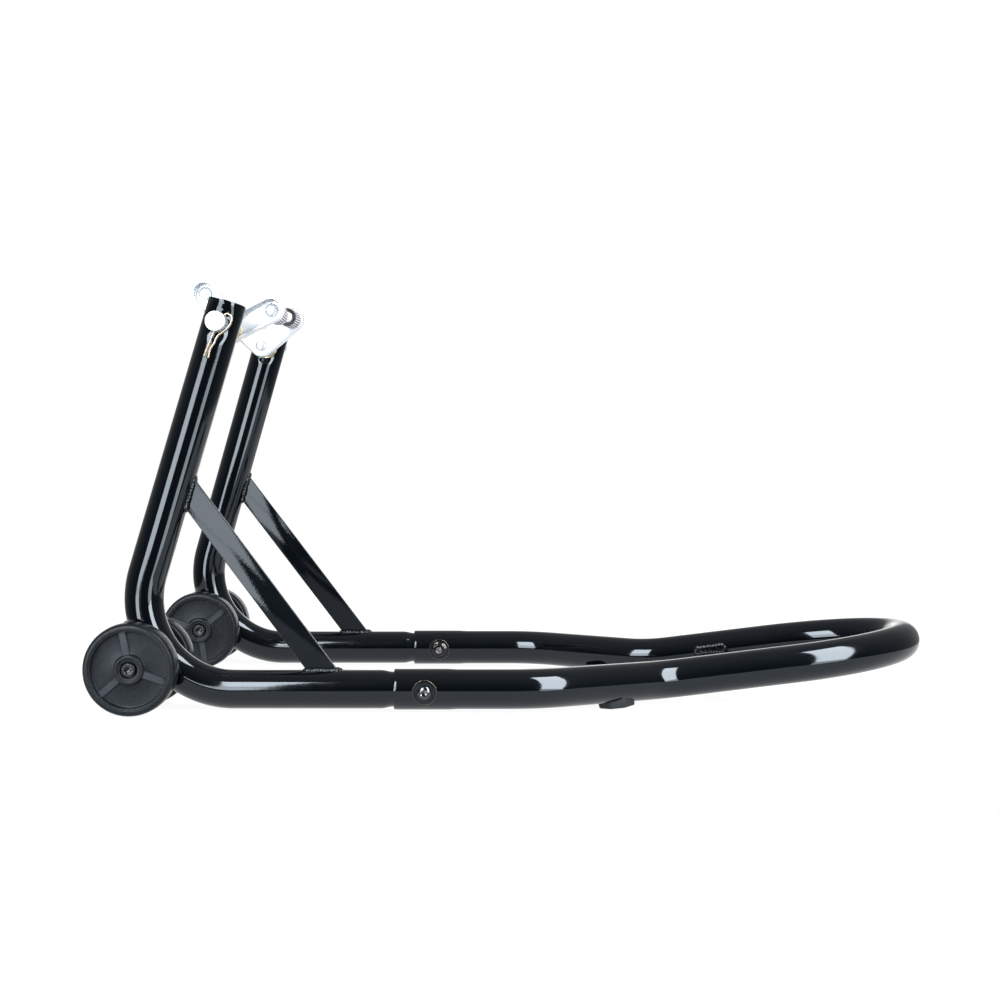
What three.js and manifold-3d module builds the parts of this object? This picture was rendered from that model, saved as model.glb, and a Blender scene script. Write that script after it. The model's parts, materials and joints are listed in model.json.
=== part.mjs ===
// Paddock stand for a motorcycle: two wheeled legs with swivelling V-cradles, bolted to a U-shaped handle.
//
// Millimetres, +Z up, +X towards the handle. The user stands at the handle facing the wheels, so left is -Y.
// The legs and the handle are drawn in the tube frame, whose X axis runs along the legs' lower tubes; the
// whole stand is then pitched a little, so that the wheels and the feet meet one level floor.
import * as THREE from "three";
import { mergeVertices } from "three/addons/utils/BufferGeometryUtils.js";
import Module from "manifold-3d";

const wasm = await Module();
wasm.setup();

// ---------------------------------------------------------------- driving dimensions
const CLEARANCE = 0.3;          // gap kept between pieces that touch
const ROUND_SIDES = 16;         // sides of the large tubes

const TRACK = 310;              // between the two legs' centre planes
const TUBE_AXIS_HEIGHT = 21;    // of the lower tubes, in the tube frame
const PITCH = 0.8;              // degrees that the tube frame is raised towards the handle

const LEG = {
  radius: 19,
  wall: 2,
  bendRadius: 90,
  bendCentreX: -265.8,
  lean: 16,                     // degrees that the upright leans towards the handle
  inwardLean: 1.9,              // degrees that the upright leans towards the other leg
  topAbovePin: 23.6,
  pinHeight: 381.8,
  spigotRadius: 17.2,
  taperLength: 12,
};

const HANDLE = {
  radius: 19.6,
  wall: 1.8,
  socketX: -108,                // the open ends, where the legs plug in
  socketRadius: 20.1,
  socketLength: 62,
  shoulderX: 33,                // the sides turn inwards here
  waistX: 166,                  // and run parallel again from here
  waistHeight: 19.5,
  bendRadii: [120, 90],         // at the shoulder and at the waist
  gripHalfWidth: 86,
  endStartX: 300,               // the sides close in from here, in half an ellipse
  endReach: 134.7,
  rise: 6.9,                    // degrees that the grip climbs
};

const BRACE = { x: 236, width: 31, thickness: 5, aboveAxis: 2 };
const FOOT = { x: 115, halfWidth: 18, sides: 8, height: 11, tilt: 6.1, inset: 46.5 };
const GUSSET = { x: -231.8, z: 108.8, angle: 127.1, width: 24.5, thickness: 5 };
const JOINT_BOLT = { x: -77.4, shank: 4, head: 7, headHeight: 4.4, hex: 2.9, hexDepth: 2.6 };
const JOINT_WASHER = { radius: 12, bore: 4.4, thickness: 1.6 };
const JOINT_NUT = { flats: 6.5, height: 7, flange: 9.4, flangeHeight: 1.4 };

const WHEEL = {
  radius: 45,
  width: 23.6,
  offset: 34.2,                 // from the leg's centre plane to the wheel's
  chamfer: 1.8,
  rimInner: 37,
  webHalf: 5,                   // half the thickness of the recessed disc
  hub: 14,
  hubHalf: 10.4,
  bore: 6.4,
  counterbore: 8.2,
  counterboreDepth: 7,
  ribs: 3,
  ribWidth: 7,
  ribHalf: 7.6,
};
const AXLE = { x: -359.2, z: 45.9, sleeve: 9, sleeveHalf: 20.4, bush: 6, bushBore: 4.4, bolt: 4 };
const WHEEL_WASHER = { radius: 9, thickness: 1.2 };
const WHEEL_BOLT = { head: 6.5, headHeight: 7, hex: 3.4, hexDepth: 3.5 };

// Along the pivot pin, distances are from the leg's centre plane, positive towards the other leg.
const PIN = { radius: 10, outerEnd: -31, clipAt: -25.6, tenon: 5.8, rivet: 6.4, rivetHeight: 2.4 };
const PIN_HOLE = 10.4;
const PIVOT_WASHER = { radius: 13, thickness: 2.4 };
const SPACER_RADIUS = 11.6;
const BRACKET = {
  near: 42,                     // rim of the flanges
  face: 56,                     // the flat face that carries the pegs
  web: 3.2,
  wall: 2.4,
  radius: 13,                   // round ends and round corner of the V
  arm: 47.2,                    // pivot to peg
  spread: 97,                   // degrees between the arms
};
const CRADLE_TURN = { left: 27.6, right: 39.8 };   // each cradle's handle-side arm, degrees above +X
const PEG = { radius: 5.8, length: 41, rivet: 7.3, rivetHeight: 3 };
const SLEEVE = { bore: 6.1, root: 9.9, crest: 10.7, ribs: 24, length: 38.5 };
const CLIP = { wire: 1.15, hole: 1.5, lean: 31.7, offset: 3.9 };

const STEEL_BLACK = { color: 0x0b0d12, roughness: 0.18, metalness: 0.2 };
const STEEL_SATIN = { color: 0x16191c, roughness: 0.5, metalness: 0.2 };
const ZINC = { color: 0xd9dde0, roughness: 0.32, metalness: 0.9 };
const BRIGHT_STEEL = { color: 0x9a9da1, roughness: 0.2, metalness: 1.0 };
const YELLOW_ZINC = { color: 0xc9a24e, roughness: 0.35, metalness: 0.9 };
const BLACK_BOLT = { color: 0x1b1c1e, roughness: 0.38, metalness: 0.8 };
const BLACK_PLASTIC = { color: 0x1d1e20, roughness: 0.55, metalness: 0.0 };
const RUBBER = { color: 0x26262b, roughness: 0.8, metalness: 0.0 };

// ---------------------------------------------------------------- geometry helpers
const rad = THREE.MathUtils.degToRad;
const vec = (x, y, z) => new THREE.Vector3(x, y, z);

/** A manifold solid from a closed geometry. */
function toSolid(geometry) {
  const bare = geometry.index ? geometry.toNonIndexed() : geometry.clone();
  bare.deleteAttribute("normal");
  bare.deleteAttribute("uv");
  const merged = mergeVertices(bare, 1e-4);
  return new wasm.Manifold(new wasm.Mesh({
    numProp: 3,
    vertProperties: new Float32Array(merged.attributes.position.array),
    triVerts: new Uint32Array(merged.index.array),
  }));
}

/** The geometry of a manifold solid. */
function toGeometry(solid) {
  const mesh = solid.getMesh();
  const geometry = new THREE.BufferGeometry();
  geometry.setAttribute("position", new THREE.BufferAttribute(new Float32Array(mesh.vertProperties), 3));
  geometry.setIndex(new THREE.BufferAttribute(new Uint32Array(mesh.triVerts), 1));
  geometry.computeVertexNormals();
  return geometry;
}

/** One geometry: the union of `parts` less every one of `cuts`. */
function carve(parts, cuts = []) {
  const body = parts.map(toSolid).reduce((sum, part) => sum.add(part));
  return toGeometry(cuts.map(toSolid).reduce((left, cut) => left.subtract(cut), body));
}

/** A regular polygon as a shape, with a corner on its first axis. */
function polygon(radius, sides) {
  const corners = [];
  for (let i = 0; i < sides; i += 1) {
    const angle = (2 * Math.PI * i) / sides;
    corners.push(new THREE.Vector2(radius * Math.cos(angle), radius * Math.sin(angle)));
  }
  return new THREE.Shape(corners);
}

/** A closed solid turned about the Y axis from [radius, y] pairs that start and end on the axis or close. */
function turned(profile, sides = 12) {
  return new THREE.LatheGeometry(profile.map(([r, y]) => new THREE.Vector2(r, y)), sides);
}

/** A plain cylinder along Y between two stations. */
function rod(radius, from, to, sides = 12) {
  return turned([[0, from], [radius, from], [radius, to], [0, to]], sides);
}

/** A washer or tube along Y between two stations. */
function ring(outer, inner, from, to, sides = 16) {
  return turned([[inner, from], [outer, from], [outer, to], [inner, to], [inner, from]], sides);
}

/** A hexagonal prism along Y; `flats` is half the width across its flats. */
function hexPrism(flats, from, to) {
  return rod(flats / Math.cos(Math.PI / 6), from, to, 6);
}

/** A curve whose equal steps fall on given stations, so that straight runs cost one step. */
class StationCurve extends THREE.Curve {
  constructor(stations) {
    super();
    this.stations = stations;
    this.steps = stations.length - 1;
  }

  getPointAt(u) {
    return this.stations[Math.round(u * this.steps)].point.clone();
  }

  getPoint(u) {
    return this.getPointAt(u);
  }

  getTangentAt(u) {
    return this.stations[Math.round(u * this.steps)].tangent.clone();
  }
}

/** The stations of a bent tube: straight between corners, each rounded to its own bend radius. */
function bentStations(corners, radii, stepDegrees = 11) {
  const stations = [];
  const heading = (a, b) => b.clone().sub(a).normalize();
  stations.push({ point: corners[0], tangent: heading(corners[0], corners[1]) });
  for (let i = 1; i < corners.length - 1; i += 1) {
    const before = heading(corners[i - 1], corners[i]);
    const after = heading(corners[i], corners[i + 1]);
    const turn = before.angleTo(after);
    const axis = before.clone().cross(after).normalize();
    const radius = radii[i - 1];
    const start = corners[i].clone().addScaledVector(before, -radius * Math.tan(turn / 2));
    const centre = start.clone().addScaledVector(axis.clone().cross(before), radius);
    const steps = Math.max(2, Math.ceil(turn / rad(stepDegrees)));
    for (let k = 0; k <= steps; k += 1) {
      const angle = (turn * k) / steps;
      stations.push({
        point: start.clone().sub(centre).applyAxisAngle(axis, angle).add(centre),
        tangent: before.clone().applyAxisAngle(axis, angle),
      });
    }
  }
  const last = corners.length - 1;
  stations.push({ point: corners[last], tangent: heading(corners[last - 1], corners[last]) });
  return stations;
}

/** A round bar swept along stations. */
function sweep(stations, radius, sides = ROUND_SIDES) {
  const path = new StationCurve(stations);
  const options = { steps: path.steps, bevelEnabled: false, extrudePath: path };
  return new THREE.ExtrudeGeometry(polygon(radius, sides), options);
}

/** The same stations with both ends moved outwards, for a bore that cuts through the ends. */
function lengthened(stations, extra) {
  const longer = stations.map(({ point, tangent }) => ({ point: point.clone(), tangent }));
  longer[0].point.addScaledVector(longer[0].tangent, -extra);
  longer.at(-1).point.addScaledVector(longer.at(-1).tangent, extra);
  return longer;
}

/** A named mesh, with its own material. */
function piece(name, geometry, finish) {
  const mesh = new THREE.Mesh(geometry, new THREE.MeshStandardMaterial(finish));
  mesh.name = name;
  return mesh;
}

// ---------------------------------------------------------------- legs
const UPRIGHT = vec(Math.sin(rad(LEG.lean)), 0, Math.cos(rad(LEG.lean)));

/** A point on the upright's axis at a height, in the leg's plane. */
function onUpright(height) {
  const side = vec(-UPRIGHT.z, 0, UPRIGHT.x);
  const tangent = vec(LEG.bendCentreX, 0, TUBE_AXIS_HEIGHT + LEG.bendRadius).addScaledVector(side, LEG.bendRadius);
  return tangent.addScaledVector(UPRIGHT, (height - tangent.z) / UPRIGHT.z);
}

const PIVOT = onUpright(LEG.pinHeight);
const LEG_TOP = PIVOT.clone().addScaledVector(UPRIGHT, LEG.topAbovePin);

/** The bent leg tube, from its open top to the swaged spigot inside the handle's socket. */
function legTube() {
  const taperEnd = HANDLE.socketX - 1;
  const taperStart = taperEnd - LEG.taperLength;
  const spigotEnd = HANDLE.socketX + HANDLE.socketLength - 4;
  const heel = onUpright(TUBE_AXIS_HEIGHT);
  const stations = bentStations([LEG_TOP, heel, vec(taperStart, 0, TUBE_AXIS_HEIGHT)], [LEG.bendRadius]);
  const inner = LEG.radius - LEG.wall;
  const spigotInner = LEG.spigotRadius - LEG.wall;
  const swaged = turned([
    [0, taperStart - 1], [LEG.radius, taperStart - 1], [LEG.radius, taperStart],
    [LEG.spigotRadius, taperEnd], [LEG.spigotRadius, spigotEnd], [0, spigotEnd],
  ], ROUND_SIDES);
  const swagedBore = turned([
    [0, taperStart - 2], [inner, taperStart - 2], [inner, taperStart],
    [spigotInner, taperEnd], [spigotInner, spigotEnd + 1], [0, spigotEnd + 1],
  ], ROUND_SIDES);
  for (const end of [swaged, swagedBore]) {
    end.rotateZ(-Math.PI / 2).translate(0, 0, TUBE_AXIS_HEIGHT);
  }
  const pinHole = rod(PIN_HOLE, -30, 30, 24).translate(PIVOT.x, 0, PIVOT.z);
  const boltHole = rod(JOINT_WASHER.bore + 0.8, -30, 30).translate(JOINT_BOLT.x, 0, TUBE_AXIS_HEIGHT);
  return carve(
    [sweep(stations, LEG.radius), swaged],
    [sweep(lengthened(stations, 1), inner), swagedBore, pinHole, boltHole],
  );
}

/** The flat bar between the upright and the lower tube, cut to butt against both. */
function gusset() {
  const along = vec(Math.cos(rad(GUSSET.angle)), 0, Math.sin(rad(GUSSET.angle)));
  const across = vec(along.z, 0, -along.x);
  const outline = [];
  for (const side of [-1, 1]) {
    const edge = vec(GUSSET.x, 0, GUSSET.z).addScaledVector(across, (side * GUSSET.width) / 2);
    const low = edge.clone().addScaledVector(
      along, (TUBE_AXIS_HEIGHT + LEG.radius + CLEARANCE - edge.z) / along.z);
    const normal = vec(UPRIGHT.z, 0, -UPRIGHT.x);
    const reach = PIVOT.clone().sub(edge).dot(normal) + LEG.radius + CLEARANCE;
    const high = edge.clone().addScaledVector(along, reach / along.dot(normal));
    outline.push(...(side < 0 ? [low, high] : [high, low]));
  }
  const shape = new THREE.Shape(outline.map((p) => new THREE.Vector2(p.x, p.z)));
  const plate = new THREE.ExtrudeGeometry(shape, { depth: GUSSET.thickness, bevelEnabled: false });
  return plate.rotateX(Math.PI / 2).translate(0, GUSSET.thickness / 2, 0);
}

/** The threaded sleeve across the heel of the leg that takes both wheels' bolts. */
function axleSleeve() {
  const sleeve = ring(AXLE.sleeve, AXLE.bushBore, -AXLE.sleeveHalf, AXLE.sleeveHalf);
  sleeve.translate(AXLE.x, 0, AXLE.z);
  const heel = onUpright(TUBE_AXIS_HEIGHT);
  const stations = bentStations([LEG_TOP, heel, vec(HANDLE.socketX, 0, TUBE_AXIS_HEIGHT)], [LEG.bendRadius]);
  const tube = sweep(stations, LEG.radius + CLEARANCE, 2 * ROUND_SIDES);
  tube.translate(0, 0, -TUBE_AXIS_HEIGHT).rotateX(-rad(LEG.inwardLean)).translate(0, 0, TUBE_AXIS_HEIGHT);
  return carve([sleeve], [tube]);
}

// ---------------------------------------------------------------- wheels
/** A moulded wheel about the Y axis: rim, recessed disc, three ribs a side, hub with a counterbore outside. */
function wheel() {
  const half = WHEEL.width / 2;
  const edge = WHEEL.radius - WHEEL.chamfer;
  const floor = WHEEL.hubHalf - WHEEL.counterboreDepth;
  const body = turned([
    [WHEEL.bore, -WHEEL.hubHalf - 1], [WHEEL.hub, -WHEEL.hubHalf - 1], [WHEEL.hub, -WHEEL.webHalf],
    [WHEEL.rimInner, -WHEEL.webHalf], [WHEEL.rimInner, -half], [edge, -half],
    [WHEEL.radius, -half + WHEEL.chamfer], [WHEEL.radius, half - WHEEL.chamfer], [edge, half],
    [WHEEL.rimInner, half], [WHEEL.rimInner, WHEEL.webHalf], [WHEEL.hub, WHEEL.webHalf],
    [WHEEL.hub, WHEEL.hubHalf], [WHEEL.counterbore, WHEEL.hubHalf], [WHEEL.counterbore, floor],
    [WHEEL.bore, floor], [WHEEL.bore, -WHEEL.hubHalf - 1],
  ], 32);
  const length = WHEEL.rimInner - WHEEL.hub + 3;
  const ribs = [];
  for (let i = 0; i < WHEEL.ribs; i += 1) {
    const rib = new THREE.BoxGeometry(length, 2 * WHEEL.ribHalf, WHEEL.ribWidth);
    ribs.push(rib.translate(WHEEL.hub - 1 + length / 2, 0, 0).rotateY((2 * Math.PI * i) / WHEEL.ribs));
  }
  return carve([body, ...ribs]);
}

/** One wheel with its bush and bolt, built with the outside towards +Y. */
function wheelSet(name, facing, turn) {
  const set = new THREE.Group();
  const spinning = piece(`wheel_${name}`, wheel(), BLACK_PLASTIC);
  spinning.position.y = WHEEL.offset;
  spinning.rotation.y = rad(turn);
  set.add(spinning);

  const bushStart = AXLE.sleeveHalf + WHEEL_WASHER.thickness + 2 * CLEARANCE;
  const seat = WHEEL.offset + WHEEL.hubHalf - WHEEL.counterboreDepth + 2 * CLEARANCE;
  const bush = ring(AXLE.bush, AXLE.bushBore, bushStart, seat - CLEARANCE, 16);
  set.add(piece(`wheel_bush_${name}`, bush, ZINC));

  const washerStart = AXLE.sleeveHalf + CLEARANCE;
  const washer = ring(WHEEL_WASHER.radius, AXLE.bushBore, washerStart, washerStart + WHEEL_WASHER.thickness, 16);
  set.add(piece(`wheel_washer_${name}`, washer, ZINC));

  const headTop = seat + WHEEL_BOLT.headHeight;
  const bolt = carve(
    [turned([
      [0, 6], [AXLE.bolt, 6], [AXLE.bolt, seat], [WHEEL_BOLT.head, seat],
      [WHEEL_BOLT.head, headTop - 0.6], [WHEEL_BOLT.head - 0.6, headTop], [0, headTop],
    ])],
    [hexPrism(WHEEL_BOLT.hex, headTop - WHEEL_BOLT.hexDepth, headTop + 1)],
  );
  set.add(piece(`wheel_bolt_${name}`, bolt, BLACK_BOLT));
  set.position.set(AXLE.x, 0, AXLE.z);
  set.rotation.z = facing < 0 ? Math.PI : 0;
  return set;
}

// ---------------------------------------------------------------- V-cradles
/** The unit direction of a cradle arm, seen along +Y with X to the right. */
function armDirection(degrees) {
  return vec(Math.cos(rad(degrees)), 0, Math.sin(rad(degrees)));
}

/** The V outline grown by `grow`, as solids along Y between two stations: a bar and a disc for each arm. */
function vOutline(grow, from, to) {
  const solids = [rod(BRACKET.radius + grow, from, to, 24)];
  for (const angle of [0, BRACKET.spread]) {
    const tip = armDirection(angle).multiplyScalar(BRACKET.arm);
    solids.push(rod(BRACKET.radius + grow, from, to, 24).translate(tip.x, 0, tip.z));
    const bar = new THREE.BoxGeometry(BRACKET.arm, to - from, 2 * (BRACKET.radius + grow));
    bar.translate(BRACKET.arm / 2, (from + to) / 2, 0);
    solids.push(bar.rotateY(-rad(angle)));
  }
  return solids;
}

/** The pressed V-shaped bracket: a flat face with a flange all round that points to the upright. */
function bracket() {
  const holes = [0, BRACKET.spread].map((angle) => {
    const tip = armDirection(angle).multiplyScalar(BRACKET.arm);
    return rod(PEG.radius - 1 + CLEARANCE, 0, 100).translate(tip.x, 0, tip.z);
  });
  const hollow = vOutline(-BRACKET.wall, BRACKET.near - 1, BRACKET.face - BRACKET.web);
  const inside = toGeometry(hollow.map(toSolid).reduce((sum, part) => sum.add(part)));
  return carve(
    vOutline(0, BRACKET.near, BRACKET.face),
    [inside, rod(PIN.tenon + CLEARANCE, 0, 100), ...holes],
  );
}

/** The pivot pin, riveted to the bracket, with a cross hole for the clip near its free end. */
function pivotPin() {
  const shoulder = BRACKET.face - BRACKET.web - CLEARANCE;
  const under = BRACKET.face + CLEARANCE;
  const crossHole = rod(CLIP.hole, -15, 15, 12);
  crossHole.rotateX(Math.PI / 2).translate(CLIP.offset, PIN.clipAt, 0).rotateY(rad(CLIP.lean));
  return carve(
    [turned([
      [0, PIN.outerEnd], [PIN.radius - 1, PIN.outerEnd], [PIN.radius, PIN.outerEnd + 1],
      [PIN.radius, shoulder], [PIN.tenon, shoulder], [PIN.tenon, under], [PIN.rivet, under],
      [PIN.rivet * 0.75, under + PIN.rivetHeight * 0.7], [0, under + PIN.rivetHeight],
    ], 24)],
    [crossHole],
  );
}

/** The R-clip: a straight leg through the pin, an eye beside it, and a springy leg that hugs the pin. */
function clip() {
  const straightLeg = [[-11.5, -34.6], [-7, -23.1], [-2.7, -12], [2.8, -2.9], [7.8, 5.2]];
  const eye = [[11.6, 7.6], [15, 5.2], [15.4, 0.4]];
  const springyLeg = [[12.4, -5.4], [7.8, -9.9], [2.9, -13.4], [0.3, -17], [-1.3, -21], [-4.3, -25.4],
    [-6, -30], [-7.2, -36]];
  const points = [...straightLeg, ...eye, ...springyLeg].map(([x, z]) => vec(x, PIN.clipAt, z));
  const path = new THREE.CatmullRomCurve3(points, false, "centripetal");
  const options = { steps: 40, bevelEnabled: false, extrudePath: path };
  return new THREE.ExtrudeGeometry(polygon(CLIP.wire, 6), options);
}

/** A peg: a rod with a domed free end, riveted through the bracket. */
function peg() {
  const face = BRACKET.face + CLEARANCE;
  const back = BRACKET.face - BRACKET.web - CLEARANCE;
  const end = face + PEG.length;
  const shank = PEG.radius - 1;
  return turned([
    [0, back - PEG.rivetHeight], [PEG.rivet * 0.72, back - PEG.rivetHeight * 0.75], [PEG.rivet, back],
    [shank, back], [shank, face], [PEG.radius, face], [PEG.radius, end - 1.6],
    [PEG.radius * 0.72, end - 0.5], [0, end],
  ], 16);
}

/** The ribbed rubber sleeve on a peg. */
function sleeve() {
  const shape = new THREE.Shape();
  for (let i = 0; i < 4 * SLEEVE.ribs; i += 1) {
    const radius = i % 4 < 2 ? SLEEVE.crest : SLEEVE.root;
    const angle = (2 * Math.PI * i) / (4 * SLEEVE.ribs);
    const corner = [radius * Math.cos(angle), radius * Math.sin(angle)];
    if (i === 0) shape.moveTo(...corner);
    else shape.lineTo(...corner);
  }
  shape.holes.push(new THREE.Path(polygon(SLEEVE.bore, 16).getPoints()));
  const body = new THREE.ExtrudeGeometry(shape, { depth: SLEEVE.length, bevelEnabled: false });
  return body.rotateX(-Math.PI / 2).translate(0, BRACKET.face + 2 * CLEARANCE, 0);
}

/** A whole cradle, about a pivot at its origin; +Y points towards the other leg. */
function cradle(side, turn) {
  const swivelling = new THREE.Group();
  const arms = new THREE.Group();
  arms.rotation.y = -rad(turn);
  arms.add(piece(`cradle_bracket_${side}`, bracket(), ZINC));
  for (const [end, angle] of [["rear", 0], ["front", BRACKET.spread]]) {
    const tip = armDirection(angle).multiplyScalar(BRACKET.arm);
    const rodPiece = piece(`peg_${end}_${side}`, peg(), ZINC);
    const rubber = piece(`peg_sleeve_${end}_${side}`, sleeve(), RUBBER);
    rodPiece.position.copy(tip);
    rubber.position.copy(tip);
    arms.add(rodPiece, rubber);
  }
  swivelling.add(arms, piece(`pivot_pin_${side}`, pivotPin(), ZINC), piece(`pivot_clip_${side}`, clip(), ZINC));
  return swivelling;
}

/** A washer on the pivot pin that starts at a station. */
function pivotWasher(from) {
  return ring(PIVOT_WASHER.radius, PIN_HOLE, from, from + PIVOT_WASHER.thickness, 24);
}

/** The spacer tube that holds the bracket away from the upright. */
function pivotSpacer() {
  const from = LEG.radius + 3 * CLEARANCE + PIVOT_WASHER.thickness;
  const to = BRACKET.near - 2 * CLEARANCE - PIVOT_WASHER.thickness;
  return ring(SPACER_RADIUS, PIN_HOLE, from, to);
}

// ---------------------------------------------------------------- handle
/** The stations of the U-shaped handle, from the left socket round to the right one. */
function handleStations() {
  const rise = rad(HANDLE.rise);
  const half = TRACK / 2;
  const endHeight = HANDLE.waistHeight + (HANDLE.endStartX - HANDLE.waistX) * Math.tan(rise);
  const side = bentStations([
    vec(HANDLE.socketX, -half, TUBE_AXIS_HEIGHT),
    vec(HANDLE.shoulderX, -half, TUBE_AXIS_HEIGHT),
    vec(HANDLE.waistX, -HANDLE.gripHalfWidth, HANDLE.waistHeight),
    vec(HANDLE.endStartX, -HANDLE.gripHalfWidth, endHeight),
  ], HANDLE.bendRadii);
  const forward = vec(Math.cos(rise), 0, Math.sin(rise));
  const centre = vec(HANDLE.endStartX, 0, endHeight);
  const grip = [];
  const steps = 20;
  for (let k = 1; k < steps; k += 1) {
    const angle = (Math.PI * k) / steps;
    const out = forward.clone().multiplyScalar(HANDLE.endReach * Math.sin(angle));
    const along = forward.clone().multiplyScalar(HANDLE.endReach * Math.cos(angle));
    grip.push({
      point: centre.clone().add(out).add(vec(0, -HANDLE.gripHalfWidth * Math.cos(angle), 0)),
      tangent: along.add(vec(0, HANDLE.gripHalfWidth * Math.sin(angle), 0)).normalize(),
    });
  }
  const mirrored = side.map(({ point, tangent }) => ({
    point: vec(point.x, -point.y, point.z),
    tangent: vec(-tangent.x, tangent.y, -tangent.z),
  })).reverse();
  return [...side, ...grip, ...mirrored];
}

const HANDLE_STATIONS = handleStations();

/** The handle tube, with an expanded socket at each open end. */
function handleTube() {
  const inner = HANDLE.radius - HANDLE.wall;
  const end = HANDLE.socketX + HANDLE.socketLength;
  const parts = [sweep(HANDLE_STATIONS, HANDLE.radius)];
  const cuts = [sweep(lengthened(HANDLE_STATIONS, 1), inner)];
  for (const y of [-TRACK / 2, TRACK / 2]) {
    const socket = turned([
      [inner - 1, HANDLE.socketX], [HANDLE.socketRadius, HANDLE.socketX], [HANDLE.socketRadius, end - 8],
      [HANDLE.radius - 0.4, end], [inner - 1, end], [inner - 1, HANDLE.socketX],
    ], ROUND_SIDES);
    parts.push(socket.rotateZ(-Math.PI / 2).translate(0, y, TUBE_AXIS_HEIGHT));
    cuts.push(rod(JOINT_WASHER.bore, y - 30, y + 30).translate(JOINT_BOLT.x, 0, TUBE_AXIS_HEIGHT));
  }
  return carve(parts, cuts);
}

/** The flat bar across the handle. */
function handleBrace() {
  const rise = rad(HANDLE.rise);
  const bar = new THREE.BoxGeometry(BRACE.width, 2 * HANDLE.gripHalfWidth, BRACE.thickness);
  const height = HANDLE.waistHeight + (BRACE.x - HANDLE.waistX) * Math.tan(rise) + BRACE.aboveAxis;
  bar.rotateY(-rise).translate(BRACE.x, 0, height);
  return carve([bar], [sweep(HANDLE_STATIONS, HANDLE.radius + CLEARANCE, 2 * ROUND_SIDES)]);
}

/** Height above the floor of a point in the tube frame. */
function aboveFloor(x, z) {
  const level = (px, pz) => px * Math.sin(rad(PITCH)) + pz * Math.cos(rad(PITCH));
  return level(x, z) - (level(AXLE.x, AXLE.z) - WHEEL.radius);
}

/** An eight-sided block foot, saddled to the handle tube, whose low edge just meets the floor. */
function foot(outwards) {
  const tilt = rad(FOOT.tilt);
  const lowX = FOOT.x - FOOT.halfWidth * Math.cos(tilt);
  const drop = FOOT.halfWidth * Math.sin(tilt);
  const bottom = drop - aboveFloor(lowX, 0);
  const corner = FOOT.halfWidth / Math.cos(Math.PI / FOOT.sides);
  const block = turned([
    [0, 0], [corner - 1, 0], [corner, 1], [corner, FOOT.height], [0, FOOT.height],
  ], FOOT.sides);
  block.rotateY(Math.PI / FOOT.sides).rotateX(Math.PI / 2).rotateY(-tilt);
  block.translate(FOOT.x, outwards * (TRACK / 2 - FOOT.inset), bottom);
  return carve([block], [sweep(HANDLE_STATIONS, HANDLE.radius + CLEARANCE, 2 * ROUND_SIDES)]);
}

// ---------------------------------------------------------------- joint fasteners
/** The cross bolt of one leg joint and its washers and nut; +Y points towards the other leg. */
function jointFasteners(side) {
  const group = new THREE.Group();
  const seat = HANDLE.socketRadius + CLEARANCE;
  const under = seat + JOINT_WASHER.thickness + CLEARANCE;
  const nutTop = under + JOINT_NUT.height;
  const headTop = -under - JOINT_BOLT.headHeight;
  const bolt = carve(
    [turned([
      [0, headTop], [JOINT_BOLT.head * 0.62, headTop], [JOINT_BOLT.head, -under - 1.2],
      [JOINT_BOLT.head, -under], [JOINT_BOLT.shank, -under], [JOINT_BOLT.shank, nutTop + 2.4],
      [0, nutTop + 2.4],
    ])],
    [hexPrism(JOINT_BOLT.hex, headTop - 1, headTop + JOINT_BOLT.hexDepth)],
  );
  const flange = ring(JOINT_NUT.flange, JOINT_BOLT.shank + CLEARANCE, under, under + JOINT_NUT.flangeHeight);
  const nut = carve(
    [flange, hexPrism(JOINT_NUT.flats, under, nutTop)],
    [rod(JOINT_BOLT.shank + CLEARANCE, 0, 60)],
  );
  const { radius, bore, thickness } = JOINT_WASHER;
  const washer = (from) => ring(radius, bore, from, from + thickness);
  group.add(
    piece(`joint_bolt_${side}`, bolt, BRIGHT_STEEL),
    piece(`joint_washer_outer_${side}`, washer(-seat - thickness), YELLOW_ZINC),
    piece(`joint_washer_inner_${side}`, washer(seat), YELLOW_ZINC),
    piece(`joint_nut_${side}`, nut, YELLOW_ZINC),
  );
  group.position.set(JOINT_BOLT.x, 0, TUBE_AXIS_HEIGHT);
  return group;
}

// ---------------------------------------------------------------- assembly
/** A mirror of a mesh's geometry across the XZ plane, with its faces kept pointing out. */
function mirrored(geometry) {
  const flipped = geometry.index ? geometry.toNonIndexed() : geometry.clone();
  const { array } = flipped.attributes.position;
  for (let i = 0; i < array.length; i += 9) {
    for (const corner of [i, i + 3, i + 6]) array[corner + 1] *= -1;
    for (let k = 0; k < 3; k += 1) [array[i + k], array[i + 3 + k]] = [array[i + 3 + k], array[i + k]];
  }
  flipped.computeVertexNormals();
  return flipped;
}

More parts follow.
